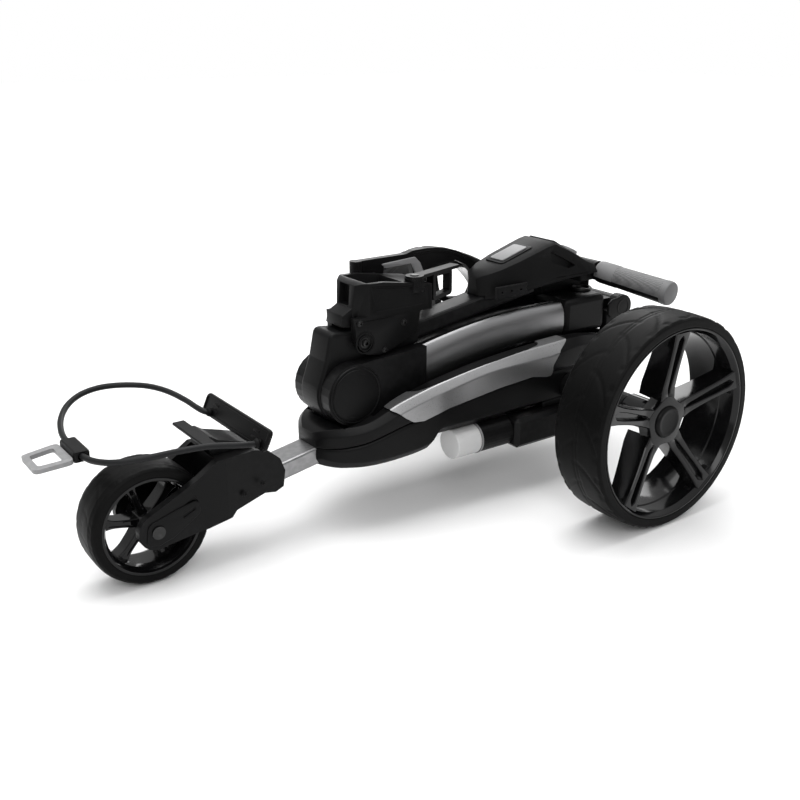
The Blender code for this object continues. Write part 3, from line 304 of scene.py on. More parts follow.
ACCENT = metal(
    "silver_accent_paint", (0.22, 0.22, 0.223), (0.3, 0.3, 0.303), 0.3, (1.0, 1.0, 1.0), 700.0, 0.85
)
STEEL = metal("bright_steel", (0.48, 0.48, 0.49), (0.6, 0.6, 0.61), 0.24, (1.0, 0.05, 1.0))
DARK_STEEL = metal(
    "blackened_steel", (0.018, 0.018, 0.018), (0.045, 0.045, 0.045), 0.34, (1.0, 0.05, 1.0)
)
BRONZE = metal("worm_bronze", (0.4, 0.26, 0.11), (0.55, 0.38, 0.18), 0.3, (1.0, 0.05, 1.0))


def gloss_black():
    m = Surface("gloss_black_rim")
    cloud = m.noise(20.0, 3.0)
    shade = m.math("MAXIMUM", m.ramp(cloud, 0.0, 0.5), m.worn())
    m.colour(shade, (0.0022, 0.0022, 0.0024), (0.008, 0.008, 0.0085))
    m.rough(cloud, 0.09, 0.16)
    m.set(Specular_IOR_Level=0.22, Coat_Weight=0.05, Coat_Roughness=0.06)
    m.bump(m.noise(160.0, 2.0), 0.00002)
    return m.material


def grip_rubber():
    """Light grey grip rubber with rows of small raised dots, and painted shade in the hollows between
    them.
    """
    m = Surface("grey_grip_rubber")
    dots = m.new("ShaderNodeTexVoronoi", Scale=520.0, Randomness=0.12)
    m.link(m.place, dots.inputs["Vector"])
    dot_height_and_shade = m.ramp(dots.outputs["Distance"], 1.0, 0.0, 0.1, 0.6)
    # Painted shade: the hollows between the dots are coloured darker than the dots' tops
    m.colour(dot_height_and_shade, (0.08, 0.08, 0.081), (0.165, 0.165, 0.167))
    m.rough(m.noise(12.0, 3.0), 0.46, 0.58)
    m.bump(dot_height_and_shade, 0.00035)
    return m.material


def glass():
    m = Surface("display_glass")
    smear = m.noise(30.0, 4.0)
    m.colour(m.ramp(smear, 0.0, 1.0), (0.004, 0.005, 0.007), (0.01, 0.012, 0.016))
    m.rough(smear, 0.04, 0.1)
    m.set(Coat_Weight=0.5)
    return m.material


def floor_white():
    """White paper, darker near the middle and glowing with painted light further out, so that it has no
    visible end.
    """
    m = Surface("studio_floor")
    distance = m.new("ShaderNodeVectorMath", operation="LENGTH")
    m.link(m.place, distance.inputs[0])
    far = m.ramp(distance.outputs["Value"], 0.0, 1.0, 0.9, 2.8)
    shade = m.math("MAXIMUM", far, m.ramp(m.noise(0.8, 2.0), 0.0, 0.1))
    # Painted shade: the paper is darker near the middle, where the object's shadows fall
    m.colour(shade, (0.84, 0.84, 0.84), (0.95, 0.95, 0.95))
    # Painted light: the paper glows more the further out it is, though it is no lamp
    m.link(m.math("MULTIPLY", far, 0.16), m.shader.inputs["Emission Strength"])
    m.set(Roughness=0.8, Specular_IOR_Level=0.1, Emission_Color=(1, 1, 1, 1))
    return m.material


RIM, GRIP, GLASS = gloss_black(), grip_rubber(), glass()
# The record's material slots; a slot's first look is the one for its CAD nodes
LOOKS = {
    "satin_black": [BLACK, SOFT_BLACK],
    "gloss_black": [RIM],
    "tyre_rubber": [RUBBER],
    "strap_rubber": [CORD],
    "gunmetal": [GUNMETAL],
    "silver_accent": [ACCENT],
    "steel": [STEEL, DARK_STEEL],
    "light_grey": [GREY, PANEL, PALE],
    "grip_grey": [GRIP, SMOOTH_GRIP],
    "screen": [GLASS],
    "board": [BOARD],
    "bronze": [BRONZE],
}
floor_mesh.materials.append(floor_white())
strap_curve.materials.append(CORD)

# ---- shape helpers

ON_AXIS = 1e-7  # a smaller radius than this is one point
WELD = 1e-6  # points nearer than this are one


def finished(name, mesh, looks, body, node=None, sharp=32):
    """Makes a piece, standing in place of a CAD node where one is named."""
    looks = looks if isinstance(looks, list) else [looks]
    mesh.name = name
    mesh.transform(Matrix.Translation(SHIFT))
    made = new_object(name, mesh)
    mesh.materials.clear()
    for look in looks:
        mesh.materials.append(look)
    mesh.shade_smooth()
    mesh.set_sharp_from_angle(angle=math.radians(sharp))
    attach(made, body)
    if node:
        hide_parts(node)


def mesh_from(shape):
    bmesh.ops.recalc_face_normals(shape, faces=shape.faces)
    mesh = bpy.data.meshes.new("shape")
    shape.to_mesh(mesh)
    shape.free()
    return mesh


def grid_mesh(rows, wrap_rows=False):
    """A skin over rows of points. Each row is a closed ring, and the end rows are capped."""
    shape = bmesh.new()
    verts = [[shape.verts.new(point) for point in row] for row in rows]
    count = len(rows[0])
    pairs = list(zip(verts, verts[1:]))
    if wrap_rows:
        pairs.append((verts[-1], verts[0]))
    for near, far in pairs:
        for i in range(count):
            j = (i + 1) % count
            shape.faces.new((near[i], near[j], far[j], far[i]))
    if not wrap_rows:
        shape.faces.new(verts[0][::-1])
        shape.faces.new(verts[-1])
    return mesh_from(shape)


def welded(mesh, flat=0.0):
    """A copy with its doubled points made one, and its faces joined where they are this flat."""
    shape = bmesh.new()
    shape.from_mesh(mesh)
    bmesh.ops.remove_doubles(shape, verts=shape.verts, dist=WELD)
    if flat:
        bmesh.ops.dissolve_limit(shape, angle_limit=flat, verts=shape.verts, edges=shape.edges)
    return mesh_from(shape)


def wheel_point(centre, outward, radius, angle, height):
    """A point at an angle from the rear towards the top, and height out along the axle."""
    return Vector(centre) + Vector((radius * math.cos(angle), outward * height, radius * math.sin(angle)))


def placed(mesh, place, angle=0.0, axis="Y"):
    """Turns a shape about an axis through the origin, then moves it to its place."""
    mesh.transform(Matrix.Translation(place) @ Matrix.Rotation(angle, 4, axis))
    return mesh


def evaluated(holder):
    """The mesh of an object with its modifiers applied; the object is removed."""
    bpy.context.view_layer.update()
    graph = bpy.context.evaluated_depsgraph_get()
    mesh = bpy.data.meshes.new_from_object(holder.evaluated_get(graph))
    mesh.transform(holder.matrix_world)
    bpy.data.objects.remove(holder, do_unlink=True)
    return mesh


def combined(base, others, operation):
    """One shape cut by others, or cut down to what it shares with them."""
    holder = new_object("holder", base)
    tools = [new_object("tool", other) for other in others]
    for tool in tools:
        mod = holder.modifiers.new("combine", "BOOLEAN")
        mod.operation = operation
        mod.object = tool
        mod.solver = "EXACT"
    mesh = evaluated(holder)
    for tool in tools:
        bpy.data.objects.remove(tool, do_unlink=True)
    return mesh


def carved(base, *others):
    return combined(base, others, "DIFFERENCE")


def joined(*meshes):
    """Several closed shapes in one mesh."""
    shape = bmesh.new()
    for mesh in meshes:
        shape.from_mesh(mesh)
    result = bpy.data.meshes.new("joined")
    shape.to_mesh(result)
    shape.free()
    return result


def rounded_edges(mesh, width, segments=3, angle=35):
    holder = new_object("holder", mesh)
    mod = holder.modifiers.new("round", "BEVEL")
    mod.width = width
    mod.segments = segments
    mod.limit_method = "ANGLE"
    mod.angle_limit = math.radians(angle)
    return evaluated(holder)


def block(low, high, rounding=0.0, segments=3):
    low, high = Vector(low), Vector(high)
    shape = bmesh.new()
    bmesh.ops.create_cube(shape, size=1.0)
    bmesh.ops.scale(shape, vec=high - low, verts=shape.verts)
    bmesh.ops.translate(shape, vec=(low + high) / 2, verts=shape.verts)
    mesh = mesh_from(shape)
    return rounded_edges(mesh, rounding, segments) if rounding else mesh


def lathe(profile, centre, outward, steps=96):
    """A closed outline of (radius, height) turned about the line along outward."""
    along = Vector(outward).normalized()
    side = Vector((0, 0, 1)) if abs(along.z) < 0.9 else Vector((1, 0, 0))
    side = (side - along * side.dot(along)).normalized()
    other = along.cross(side)
    shape = bmesh.new()
    rings = []
    for radius, height in profile:
        middle = Vector(centre) + along * height
        if radius < ON_AXIS:
            rings.append([shape.verts.new(middle)])
            continue
        turns = [2 * math.pi * k / steps for k in range(steps)]
        ring = [middle + (side * math.cos(t) + other * math.sin(t)) * radius for t in turns]
        rings.append([shape.verts.new(point) for point in ring])
    for ring, after in zip(rings, rings[1:] + rings[:1]):
        if len(ring) == len(after) == 1:
            continue
        for k in range(steps):
            j = (k + 1) % steps
            if len(ring) == 1:
                shape.faces.new((ring[0], after[j], after[k]))
            elif len(after) == 1:
                shape.faces.new((ring[k], ring[j], after[0]))
            else:
                shape.faces.new((ring[k], ring[j], after[j], after[k]))
    return mesh_from(shape)


def soft_profile(points, radius, steps=4):
    """A closed outline with its corners rounded."""
    result = []
    count = len(points)
    for i, corner in enumerate(points):
        here = Vector(corner)
        before = Vector(points[i - 1]) - here
        after = Vector(points[(i + 1) % count]) - here
        half = before.angle(after) / 2
        if math.tan(half) < 1e-6 or half > math.radians(88):
            result.append(tuple(here))
            continue
        reach = min(radius / math.tan(half), before.length * 0.45, after.length * 0.45)
        start = here + before.normalized() * reach
        end = here + after.normalized() * reach
        for k in range(steps + 1):
            t = k / steps
            result.append(tuple(start.lerp(here, t).lerp(here.lerp(end, t), t)))
    return result


PLANES = {
    "side": Matrix.Rotation(math.radians(90), 4, "X"),
    "plan": Matrix.Identity(4),
    "front": Matrix.Rotation(math.radians(90), 4, "Z") @ Matrix.Rotation(math.radians(90), 4, "X"),
}


def slab(outlines, middle, half, rounding=0.001, plane="side", resolution=2):
    """A flat outline, with any holes as further outlines, given thickness and rounded edges."""
    curve = bpy.data.curves.new("slab", "CURVE")
    curve.dimensions = "2D"
    curve.fill_mode = "BOTH"
    curve.bevel_depth = rounding
    curve.bevel_resolution = resolution
    curve.offset = -rounding
    curve.extrude = half - rounding
    for outline in outlines:
        spline = curve.splines.new("POLY")
        spline.points.add(len(outline) - 1)
        for point, (u, v) in zip(spline.points, outline):
            point.co = (u, v, 0, 1)
        spline.use_cyclic_u = True
    holder = new_object("slab", curve)
    shift = {"side": (0, middle, 0), "plan": (0, 0, middle), "front": (middle, 0, 0)}[plane]
    holder.matrix_world = Matrix.Translation(shift) @ PLANES[plane]
    mesh = evaluated(holder)
    bpy.data.curves.remove(curve)
    return welded(mesh)


def arc(centre, radius, start, end, steps):
    """Points along an arc, from one angle in degrees to another."""
    turn = [math.radians(start + (end - start) * i / steps) for i in range(steps + 1)]
    return [(centre[0] + radius * math.cos(a), centre[1] + radius * math.sin(a)) for a in turn]


def round_box(width, height, radius, steps=4, centre=(0.0, 0.0)):
    """A rectangle's outline with rounded corners."""
    u, v = centre
    w, h = width / 2, height / 2
    return soft_profile([(u - w, v - h), (u + w, v - h), (u + w, v + h), (u - w, v + h)], radius, steps)


def plain_slab(outline, low, high, plane="side"):
    """An outline pulled straight through, for cutting."""
    ends = sorted((low, high))
    if plane == "side":
        return grid_mesh([[(u, v, w) for u, w in outline] for v in ends])
    return grid_mesh([[(u, v, w) for u, v in outline] for w in ends])


def ring_of_pads(low, high, rounding, count, centre, radius):
    """Small blocks standing round a line along Z."""
    pads = []
    for k in range(count):
        turn = 2 * math.pi * k / count
        spot = Vector(centre) + Vector((radius * math.cos(turn), radius * math.sin(turn), 0))
        pads.append(placed(block(low, high, rounding, 1), spot, turn - math.radians(90), "Z"))
    return joined(*pads)


# ---- rear wheels

REAR_FACE = 0.2924
REAR_WIDTH = 0.083
REAR_INNER = REAR_FACE - REAR_WIDTH
HUB_HEIGHT = REAR_WIDTH - 0.018
SPOKE_TURNS = (90, 162, 234, 306, 18)
SPOKE_START, SPOKE_END = 0.03, 0.1285
FRONT_SPOKE_START, FRONT_SPOKE_END = 0.0115, 0.056
TREAD_PITCH = 2 * math.pi / 15
AXLE_Z = 0.146


def groove_depth(distance, half, shoulder):
    """1 inside a groove's flat bottom, falling to 0 across its shoulder."""
    return 1.0 - max(0.0, abs(distance) - half) / shoulder


def tread_cut(turn, height, width, crown):
    """How deep the tread's swooping grooves and shoulder notches are at a place on the tyre."""
    deep = 0.0
    for phase, sign in ((0.0, 1), (0.5, -1)):
        # One swoop starts at the shoulder and bends along the crown
        reach = (height if sign > 0 else width - height) / width
        local = ((turn / TREAD_PITCH + phase - 0.9 * (0.55 - reach) ** 2 * 3) % 1.0) - 0.5
        if reach < 0.56:
            deep = max(deep, 0.8 * groove_depth(local, 0.024 + 0.03 * (0.56 - reach), 0.022))
    if min(height, width - height) / width < 0.13:
        notch = ((turn / (TREAD_PITCH / 2)) % 1.0) - 0.5
        deep = max(deep, 0.75 * groove_depth(notch, 0.1, 0.05))
    for line in (0.47, 0.53):
        deep = max(deep, 0.55 * groove_depth(height / width - line, 0.008, 0.008))
    return max(0.0, min(1.0, deep)) * crown


def tyre_mesh(profile, centre, outward, width, tread_low, depth, steps=288):
    """A tyre turned about its axle, with grooves pressed into the part of it beyond tread_low."""
    rings = []
    for k in range(steps):
        turn = 2 * math.pi * k / steps
        ring = []
        for radius, height in profile:
            crown = max(0.0, min(1.0, (radius - tread_low) / 0.0012))
            cut = depth * tread_cut(turn, height, width, crown) if crown else 0.0
            ring.append(wheel_point(centre, outward, radius - cut, turn, height))
        rings.append(ring)
    return grid_mesh(rings, wrap_rows=True)


def fine_profile(points, radius, gap=0.0016):
    """A rounded outline with extra points, so that its long flat parts can carry a tread."""
    rounded = soft_profile(points, radius, 3)
    result = []
    for i, (u, v) in enumerate(rounded):
        nu, nv = rounded[(i + 1) % len(rounded)]
        parts = max(1, int(math.hypot(nu - u, nv - v) / gap))
        result += [(u + (nu - u) * k / parts, v + (nv - v) * k / parts) for k in range(parts)]
    return result


REAR_TYRE = [
    (0.1344, REAR_WIDTH - 0.0002), (0.1452, REAR_WIDTH - 0.0003), (0.1482, REAR_WIDTH - 0.0034),
    (0.1493, REAR_WIDTH - 0.016), (0.15, REAR_WIDTH - 0.035), (0.15, 0.035), (0.1493, 0.016),
    (0.1482, 0.0034), (0.1452, 0.0003), (0.1344, 0.0002), (0.13, 0.004),
    (0.13, REAR_WIDTH - 0.0046), (0.1344, REAR_WIDTH - 0.0046),
]
REAR_TYRE = fine_profile(REAR_TYRE, 0.0022)
RIM_RING = [
    (0.1342, REAR_WIDTH - 0.0002), (0.1342, REAR_WIDTH - 0.0034), (0.1292, REAR_WIDTH - 0.004),
    (0.1292, 0.0002), (0.1252, 0.0002), (0.1252, REAR_WIDTH - 0.03), (0.1268, REAR_WIDTH - 0.029),
    (0.1268, REAR_WIDTH - 0.007), (0.1312, REAR_WIDTH - 0.001), (0.1322, REAR_WIDTH - 0.0002),
]
RIM_RING = soft_profile(RIM_RING, 0.0007, 2)


def mirrored(half):
    """A cross-section's points and their mirror images, in order round it."""
    return half + [(-u, v) for u, v in reversed(half)]


def spoke_row(centre, outward, radius, turn, cross):
    """A spoke's cross-section of (sideways, outward) points, at a radius."""
    along = Vector((math.cos(turn), 0, math.sin(turn)))
    side = Vector((-math.sin(turn), 0, math.cos(turn)))
    middle = Vector(centre) + along * radius
    return [middle + side * u + Vector((0, outward * v, 0)) for u, v in cross]


def spoke_mesh(centre, outward, turn):
    """One spoke: two raised blades joined by a sunken web, dished out towards the rim."""
    rows = []
    for k in range(27):
        reach = k / 26
        radius = SPOKE_START + (SPOKE_END - SPOKE_START) * reach
        half = 0.0128 - 0.0022 * math.sin(reach * math.pi) + 0.0048 * max(0.0, reach - 0.8)
        slot = (0.0016 + 0.0034 * min(1.0, reach * 1.5)) * min(1.0, max(0.0, (reach - 0.06) / 0.1))
        slot *= min(1.0, max(0.0, (0.955 - reach) / 0.05))
        sink = 0.0075 * min(1.0, slot / 0.0012)
        front = HUB_HEIGHT + max(0.0, radius - 0.047) * 0.185
        back = front - 0.045 + 0.01 * reach
        lip = front - 0.001 if sink else front
        cross = [
            (-half * 0.62, back), (-half, front - 0.012), (-half - 0.0006, front - 0.0016),
            (-half + 0.0006, front - 0.0002), (-half + 0.0016, front), (-slot - 0.0012, front),
            (-slot - 0.0002, lip), (-slot * 0.85, front - sink),
        ]
        rows.append(spoke_row(centre, outward, radius, turn, mirrored(cross)))
    return grid_mesh(rows)


def hub_plate(centre, outward):
    """The petalled plate that the spokes grow from."""
    outline = []
    for k in range(120):
        turn = 2 * math.pi * k / 120
        lobe = math.cos(5 * (turn - math.radians(90)))
        radius = 0.0345 + 0.0022 * lobe
        outline.append((centre[0] + radius * math.cos(turn), centre[2] + radius * math.sin(turn)))
    return slab([outline], centre[1] + outward * (HUB_HEIGHT - 0.0105), 0.0108, 0.0012)


def hub_cap(centre, outward):
    base = HUB_HEIGHT + 0.0003
    profile = [
        (0.0, base + 0.0034), (0.0125, base + 0.0034), (0.016, base + 0.004), (0.0176, base + 0.0045),
        (0.019, base + 0.0045), (0.0202, base + 0.0041), (0.0222, base + 0.002), (0.0228, base + 0.0004),
        (0.0228, base), (0.0, base),
    ]
    return lathe(profile, centre, (0, outward, 0))


for side, sign in SIDES:
    middle = (0.0, sign * REAR_INNER, AXLE_Z)
    along = (0, sign, 0)
    body = "rear_wheel_" + side
    tread = tyre_mesh(REAR_TYRE, middle, sign, REAR_WIDTH, 0.1462, 0.0013)
    finished("rear_tyre_tread_" + side, tread, RUBBER, body, "rear_tyre_" + side, 40)
    barrel = [(0.0215, 0.0004), (0.0215, HUB_HEIGHT - 0.02), (0.013, HUB_HEIGHT - 0.02), (0.013, 0.0004)]
    rim = joined(
        lathe(RIM_RING, middle, along, 144),
        hub_plate(middle, sign),
        lathe(barrel, middle, along, 64),
        *[spoke_mesh(middle, sign, math.radians(turn)) for turn in SPOKE_TURNS],
    )
    finished("rear_wheel_rim_" + side, rim, RIM, body, "rear_rim_" + side)
    cap = hub_cap(middle, sign)
    finished("rear_wheel_cap_" + side, cap, BLACK, body, "rear_hub_cap_" + side)
    # Matt black pads, one on each side of each spoke's end, stand in for the painted shade inside the
    # rim's pockets
    shade_pads = []
    for turn in SPOKE_TURNS:
        for offset in (-9.5, 9.5):
            angle = math.radians(turn + offset)
            pad = block((-0.0002, -0.0045, -0.003), (0.0012, 0.0045, 0.003), 0.0005)
            spot = wheel_point(middle, sign, 0.1262, angle, REAR_WIDTH - 0.016)
            shade_pads.append(placed(pad, spot, -angle))
    finished("rear_rim_shade_pads_" + side, joined(*shade_pads), SOFT_BLACK, body)

# ---- front wheel

FRONT_AXIS = (-0.64, 0.0, 0.0745)
FRONT_HALF = 0.0295
FRONT_TYRE = [(0.0643, 0.0293), (0.0728, 0.0291), (0.0762, 0.0259), (0.0781, 0.0185), (0.0785, 0.0095)]
FRONT_TYRE += [(r, -z) for r, z in reversed(FRONT_TYRE)] + [(0.0612, -0.0245), (0.0612, 0.0245)]
tyre_edge = (FRONT_AXIS[0], -FRONT_HALF, FRONT_AXIS[2])
tread = [(r, z + FRONT_HALF) for r, z in fine_profile(FRONT_TYRE, 0.0026)]
tread = tyre_mesh(tread, tyre_edge, 1, 2 * FRONT_HALF, 0.0745, 0.0005, 216)
finished("front_tyre_tread", tread, RUBBER, "front_wheel", "front_tyre", 40)


def front_spoke(turn):
    """A waisted spoke with a shallow channel down each face."""
    rows = []
    for k in range(13):
        reach = k / 12
        radius = FRONT_SPOKE_START + (FRONT_SPOKE_END - FRONT_SPOKE_START) * reach
        half = 0.0062 - 0.0012 * math.sin(reach * math.pi) + 0.0026 * max(0.0, reach - 0.72) / 0.28
        deep = 0.012 - 0.0022 * reach
        sink = 0.0016 * min(1.0, max(0.0, (reach - 0.18) / 0.12), max(0.0, (0.86 - reach) / 0.1))
        cross = [(-half, -deep + 0.001), (-half + 0.001, -deep)]
        cross += [(-0.0028, -deep), (-0.0022, -deep + sink)]
        cross = mirrored(cross)
        cross += [(-u, -v) for u, v in cross]
        rows.append(spoke_row(FRONT_AXIS, 1, radius, turn, cross))
    return grid_mesh(rows)


front_ring = [(0.0641, 0.0292), (0.0641, 0.024), (0.0615, 0.0236), (0.0615, -0.0236), (0.0641, -0.024)]
front_ring += [(0.0641, -0.0292), (0.0604, -0.0292), (0.0592, -0.025), (0.056, -0.02), (0.0552, -0.012)]
front_ring += [(0.0552, 0.012), (0.056, 0.02), (0.0592, 0.025), (0.0604, 0.0292)]
front_hub = [(0.0135, -0.0288), (0.0135, 0.0288), (0.007, 0.0288), (0.007, -0.0288)]
front_wheel = joined(
    lathe(soft_profile(front_ring, 0.0007, 2), FRONT_AXIS, (0, 1, 0), 128),
    lathe(soft_profile(front_hub, 0.0008, 2), FRONT_AXIS, (0, 1, 0), 64),
    *[front_spoke(math.radians(50 + 60 * k)) for k in range(6)],
)
finished("front_wheel_rim", front_wheel, RIM, "front_wheel", "front_rim")

# ---- chassis

# Stations: x, half width, bottom, split line, ridge, deck
HULL = [
    (-0.403, 0.023, 0.0945, 0.118, 0.131, 0.138),
    (-0.393, 0.041, 0.0925, 0.12, 0.137, 0.145),
    (-0.377, 0.057, 0.091, 0.123, 0.141, 0.149),
    (-0.35, 0.071, 0.091, 0.129, 0.146, 0.153),
    (-0.3, 0.082, 0.0945, 0.145, 0.166, 0.175),
    (-0.256, 0.085, 0.1005, 0.1535, 0.178, 0.187),
    (-0.238, 0.086, 0.1185, 0.1565, 0.182, 0.191),
    (-0.136, 0.087, 0.1185, 0.1685, 0.196, 0.206),
    (-0.05, 0.087, 0.1185, 0.1725, 0.197, 0.212),
    (0.02, 0.084, 0.1185, 0.173, 0.203, 0.214),
    (0.09, 0.074, 0.1205, 0.174, 0.196, 0.205),
    (0.125, 0.06, 0.126, 0.174, 0.192, 0.198),
    (0.136, 0.048, 0.132, 0.174, 0.188, 0.194),
]
BROW = 0.01
AXLE_HOLE = 0.0194
STEM_PIVOT = (-0.352, 0.19)
FRAME_PIVOT = (0.148, 0.236)


def station_slope(i, c):
    """Slope of one column of the stations, set so that the curve never overshoots."""
    slopes = [
        (HULL[j + 1][c] - HULL[j][c]) / (HULL[j + 1][0] - HULL[j][0])
        for j in (i - 1, i)
        if 0 <= j < len(HULL) - 1
    ]
    if len(slopes) == 1:
        return slopes[0]
    return 0.0 if slopes[0] * slopes[1] <= 0 else 2 * slopes[0] * slopes[1] / (slopes[0] + slopes[1])


def hull_at(x):
    """Half width, bottom, split line, ridge and deck of the hull at a place along it."""
    i = max(j for j in range(len(HULL) - 1) if HULL[j][0] <= x + 1e-9)
    a, b = HULL[i], HULL[i + 1]
    h = b[0] - a[0]
    t = (x - a[0]) / h
    values = []
    for c in range(1, 6):
        m0, m1 = station_slope(i, c) * h, station_slope(i + 1, c) * h
        values.append(
            (2 * t**3 - 3 * t**2 + 1) * a[c] + (t**3 - 2 * t**2 + t) * m0
            + (3 * t**2 - 2 * t**3) * b[c] + (t**3 - t**2) * m1
        )
    return values


HULL_X = [HULL[0][0] + (HULL[-1][0] - HULL[0][0]) * k / 110 for k in range(111)]


def hull_skin(lower, out=0.0, rounding=0.004):
    """The tray below the split line or the cowl above it, stood off by out."""
    rows = []
    for x in HULL_X:
        half, bottom, split, ridge, deck = hull_at(x)
        w = half + out
        if lower:
            soft = min(0.012, w * 0.4)
            ring = [(-w + soft, bottom), (w - soft, bottom), (w, bottom + soft), (w, split)]
            ring += [(-w, split), (-w, bottom + soft)]
        else:
            base = split + 0.0005 if out == 0 else split - 0.02
            edge = ridge + out * 0.5
            ring = [(-w, base), (w, base), (w, edge), (w - BROW, deck + out)]
            ring += [(BROW - w, deck + out), (-w, edge)]
        rows.append([(x, y, z) for y, z in soft_profile(ring, rounding, 4)])
    return grid_mesh(rows)


def across(x, z, radius, half, steps=48):
    """A plain cylinder along Y, for cutting."""
    return lathe([(0, half), (radius, half), (radius, -half), (0, -half)], (x, 0, z), (0, 1, 0), steps)


TUBE_PLACE, TUBE_TILT = (-0.45, 0, 0.098), math.radians(10.3)
tube_room = block((-0.05, -0.0223, -0.0123), (0.125, 0.0223, 0.0123))
tube_room = placed(tube_room, TUBE_PLACE, -TUBE_TILT)
tray_skin = carved(
    hull_skin(True, 0.0, 0.005),
    block((-0.3325, -0.058, 0.1), (-0.26, 0.058, 0.2)),
    block((-0.261, -0.0625, 0.1215), (-0.118, 0.0625, 0.2)),
    block((-0.1185, -0.084, 0.1215), (0.06, 0.07, 0.2)),
    tube_room.copy(),
    across(0, AXLE_Z, AXLE_HOLE, 0.12),
)
finished("chassis_tray_shell", tray_skin, BLACK, "chassis", "chassis_tray")
cowl_skin = carved(
    hull_skin(False),
    block((-0.332, -0.056, 0.1), (0.1165, 0.056, 0.25)),
    across(*STEM_PIVOT, 0.0475, 0.05, 64),
    tube_room,
    across(0, AXLE_Z, AXLE_HOLE, 0.12),
)
finished("chassis_cowl_shell", cowl_skin, BLACK, "chassis", "chassis_cowl")

# A lid over the control board, with three shallow ribs across its top
board_lid = carved(
    block((-0.118, -0.0535, 0.1216), (-0.052, 0.0535, 0.14), 0.0025),
    block((-0.1155, -0.051, 0.11), (-0.0545, 0.051, 0.1375)),
)
lid_ribs = [
    block((x - 0.0015, -0.045, 0.1395), (x + 0.0015, 0.045, 0.1408), 0.0005)
    for x in (-0.1, -0.085, -0.07)
]
finished("control_board_lid", joined(board_lid, *lid_ribs), SOFT_BLACK, "chassis")

# The bright side panels' outline from the side, and from above the room that they leave
ACCENT_EDGE = [(-0.3175, 0.17), (-0.3095, 0.1665), (-0.2986, 0.1576), (-0.287, 0.15), (-0.27, 0.1486)]
ACCENT_EDGE += [(-0.228, 0.1589), (-0.139, 0.1701), (-0.0764, 0.1742), (-0.05, 0.169), (-0.04, 0.169)]
ACCENT_EDGE += [(-0.0362, 0.174), (-0.0368, 0.183), (-0.0211, 0.204), (-0.001, 0.216), (-0.001, 0.24)]
ACCENT_EDGE += [(-0.3175, 0.24)]
PAD_ROOM = [(-0.285, 0.05), (-0.27, 0.07), (-0.25, 0.0775), (-0.22, 0.079), (-0.138, 0.0805)]
PAD_ROOM += [(-0.079, 0.079), (-0.058, 0.075), (-0.048, 0.068), (-0.044, 0.05)]

for side, sign in SIDES:
    edge = soft_profile(ACCENT_EDGE, 0.01, 4)
    inside = soft_profile([(x, sign * y) for x, y in PAD_ROOM], 0.01, 4)
    edge = plain_slab(edge, sign * 0.0575, sign * 0.1125)
    panel = combined(hull_skin(False, 0.003, 0.0055), [edge], "INTERSECT")
    panel = carved(panel, hull_skin(False, 0.0006, 0.005), plain_slab(inside, 0.14, 0.26, "plan"))
    finished("bright_side_panel_" + side, panel, ACCENT, "chassis", "side_accent_" + side, 40)

# ---- folding frame

RAIL_START, RAIL_END, RAIL_INNER, FRAME_HALF = -0.2345, 0.0262, 0.0298, 0.0435


def rail_mesh(sign):
    """An arched aluminium rail: flat inside, crowned outside."""
    rows = []
    for k in range(57):
        x = RAIL_START + (RAIL_END - RAIL_START) * k / 56
        middle = 0.2333 - 0.509 * (x + 0.005) ** 2
        half = 0.03 - 0.016 * (x - RAIL_START)
        i, o = RAIL_INNER, FRAME_HALF
        cross = [
            (i, -half + 0.001), (i + 0.003, -half), (o - 0.005, -half + 0.0012),
            (o - 0.0024, -half + 0.005), (o - 0.0008, -half + 0.011), (o, -half * 0.3),
            (o - 0.0003, half * 0.1), (o - 0.0012, half * 0.4), (o - 0.0026, half * 0.6),
            (o - 0.0045, half * 0.76), (o - 0.0068, half * 0.88), (o - 0.0092, half * 0.96),
            (i + 0.0025, half), (i, half - 0.001),
        ]
        rows.append([(x, sign * y, middle + z) for y, z in cross])
    return grid_mesh(rows)


HINGE_DISC = [(0.0, 0.0472), (0.033, 0.047), (0.0352, 0.0464), (0.0362, 0.0452)]
HINGE_DISC += [(0.0368, 0.0452), (0.0378, 0.0458), (0.0392, 0.0454), (0.04, 0.044), (0.0, 0.044)]

stem_pivot = (STEM_PIVOT[0], 0, STEM_PIVOT[1])
for side, sign in SIDES:
    rail = rail_mesh(sign)
    finished("arched_rail_" + side, rail, GUNMETAL, "frame", "frame_rail_" + side, 44)
    # A stepped disc closes each front hinge, with a short moulded slot at its top and bottom
    disc = lathe(HINGE_DISC, stem_pivot, (0, sign, 0), 128)
    finished("front_hinge_disc_" + side, disc, BLACK, "frame", "hinge_cap_" + side)
    marks = []
    for angle in (math.radians(78), math.radians(250)):
        mark = block((-0.0065, -0.0002, -0.0007), (0.0065, 0.0002, 0.0007), 0.00015, 1)
        spot = wheel_point(stem_pivot, sign, 0.03, angle, 0.0471)
        marks.append(placed(mark, spot, math.radians(90) - angle))
    finished("hinge_disc_marks_" + side, joined(*marks), SOFT_BLACK, "frame")
    # The rear hinge barrel: a rounded shell over the bracket's outer face
    x, z = FRAME_PIVOT
    shell = arc(FRAME_PIVOT, 0.0192, -118, 118, 40)
    shell += [(x - 0.024, z + 0.015), (x - 0.0325, z + 0.0085)]
    shell += [(x - 0.0325, z - 0.0085), (x - 0.024, z - 0.015)]
    barrel = slab([shell], sign * 0.0482, 0.002, 0.0018, resolution=3)
    ring = soft_profile([(0.0135, 0.05), (0.0135, 0.0507), (0.0105, 0.0507), (0.0105, 0.05)], 0.0003, 2)
    barrel = joined(barrel, lathe(ring, (x, 0, z), (0, sign, 0), 64))
    finished("rear_hinge_barrel_" + side, barrel, BLACK, "chassis")

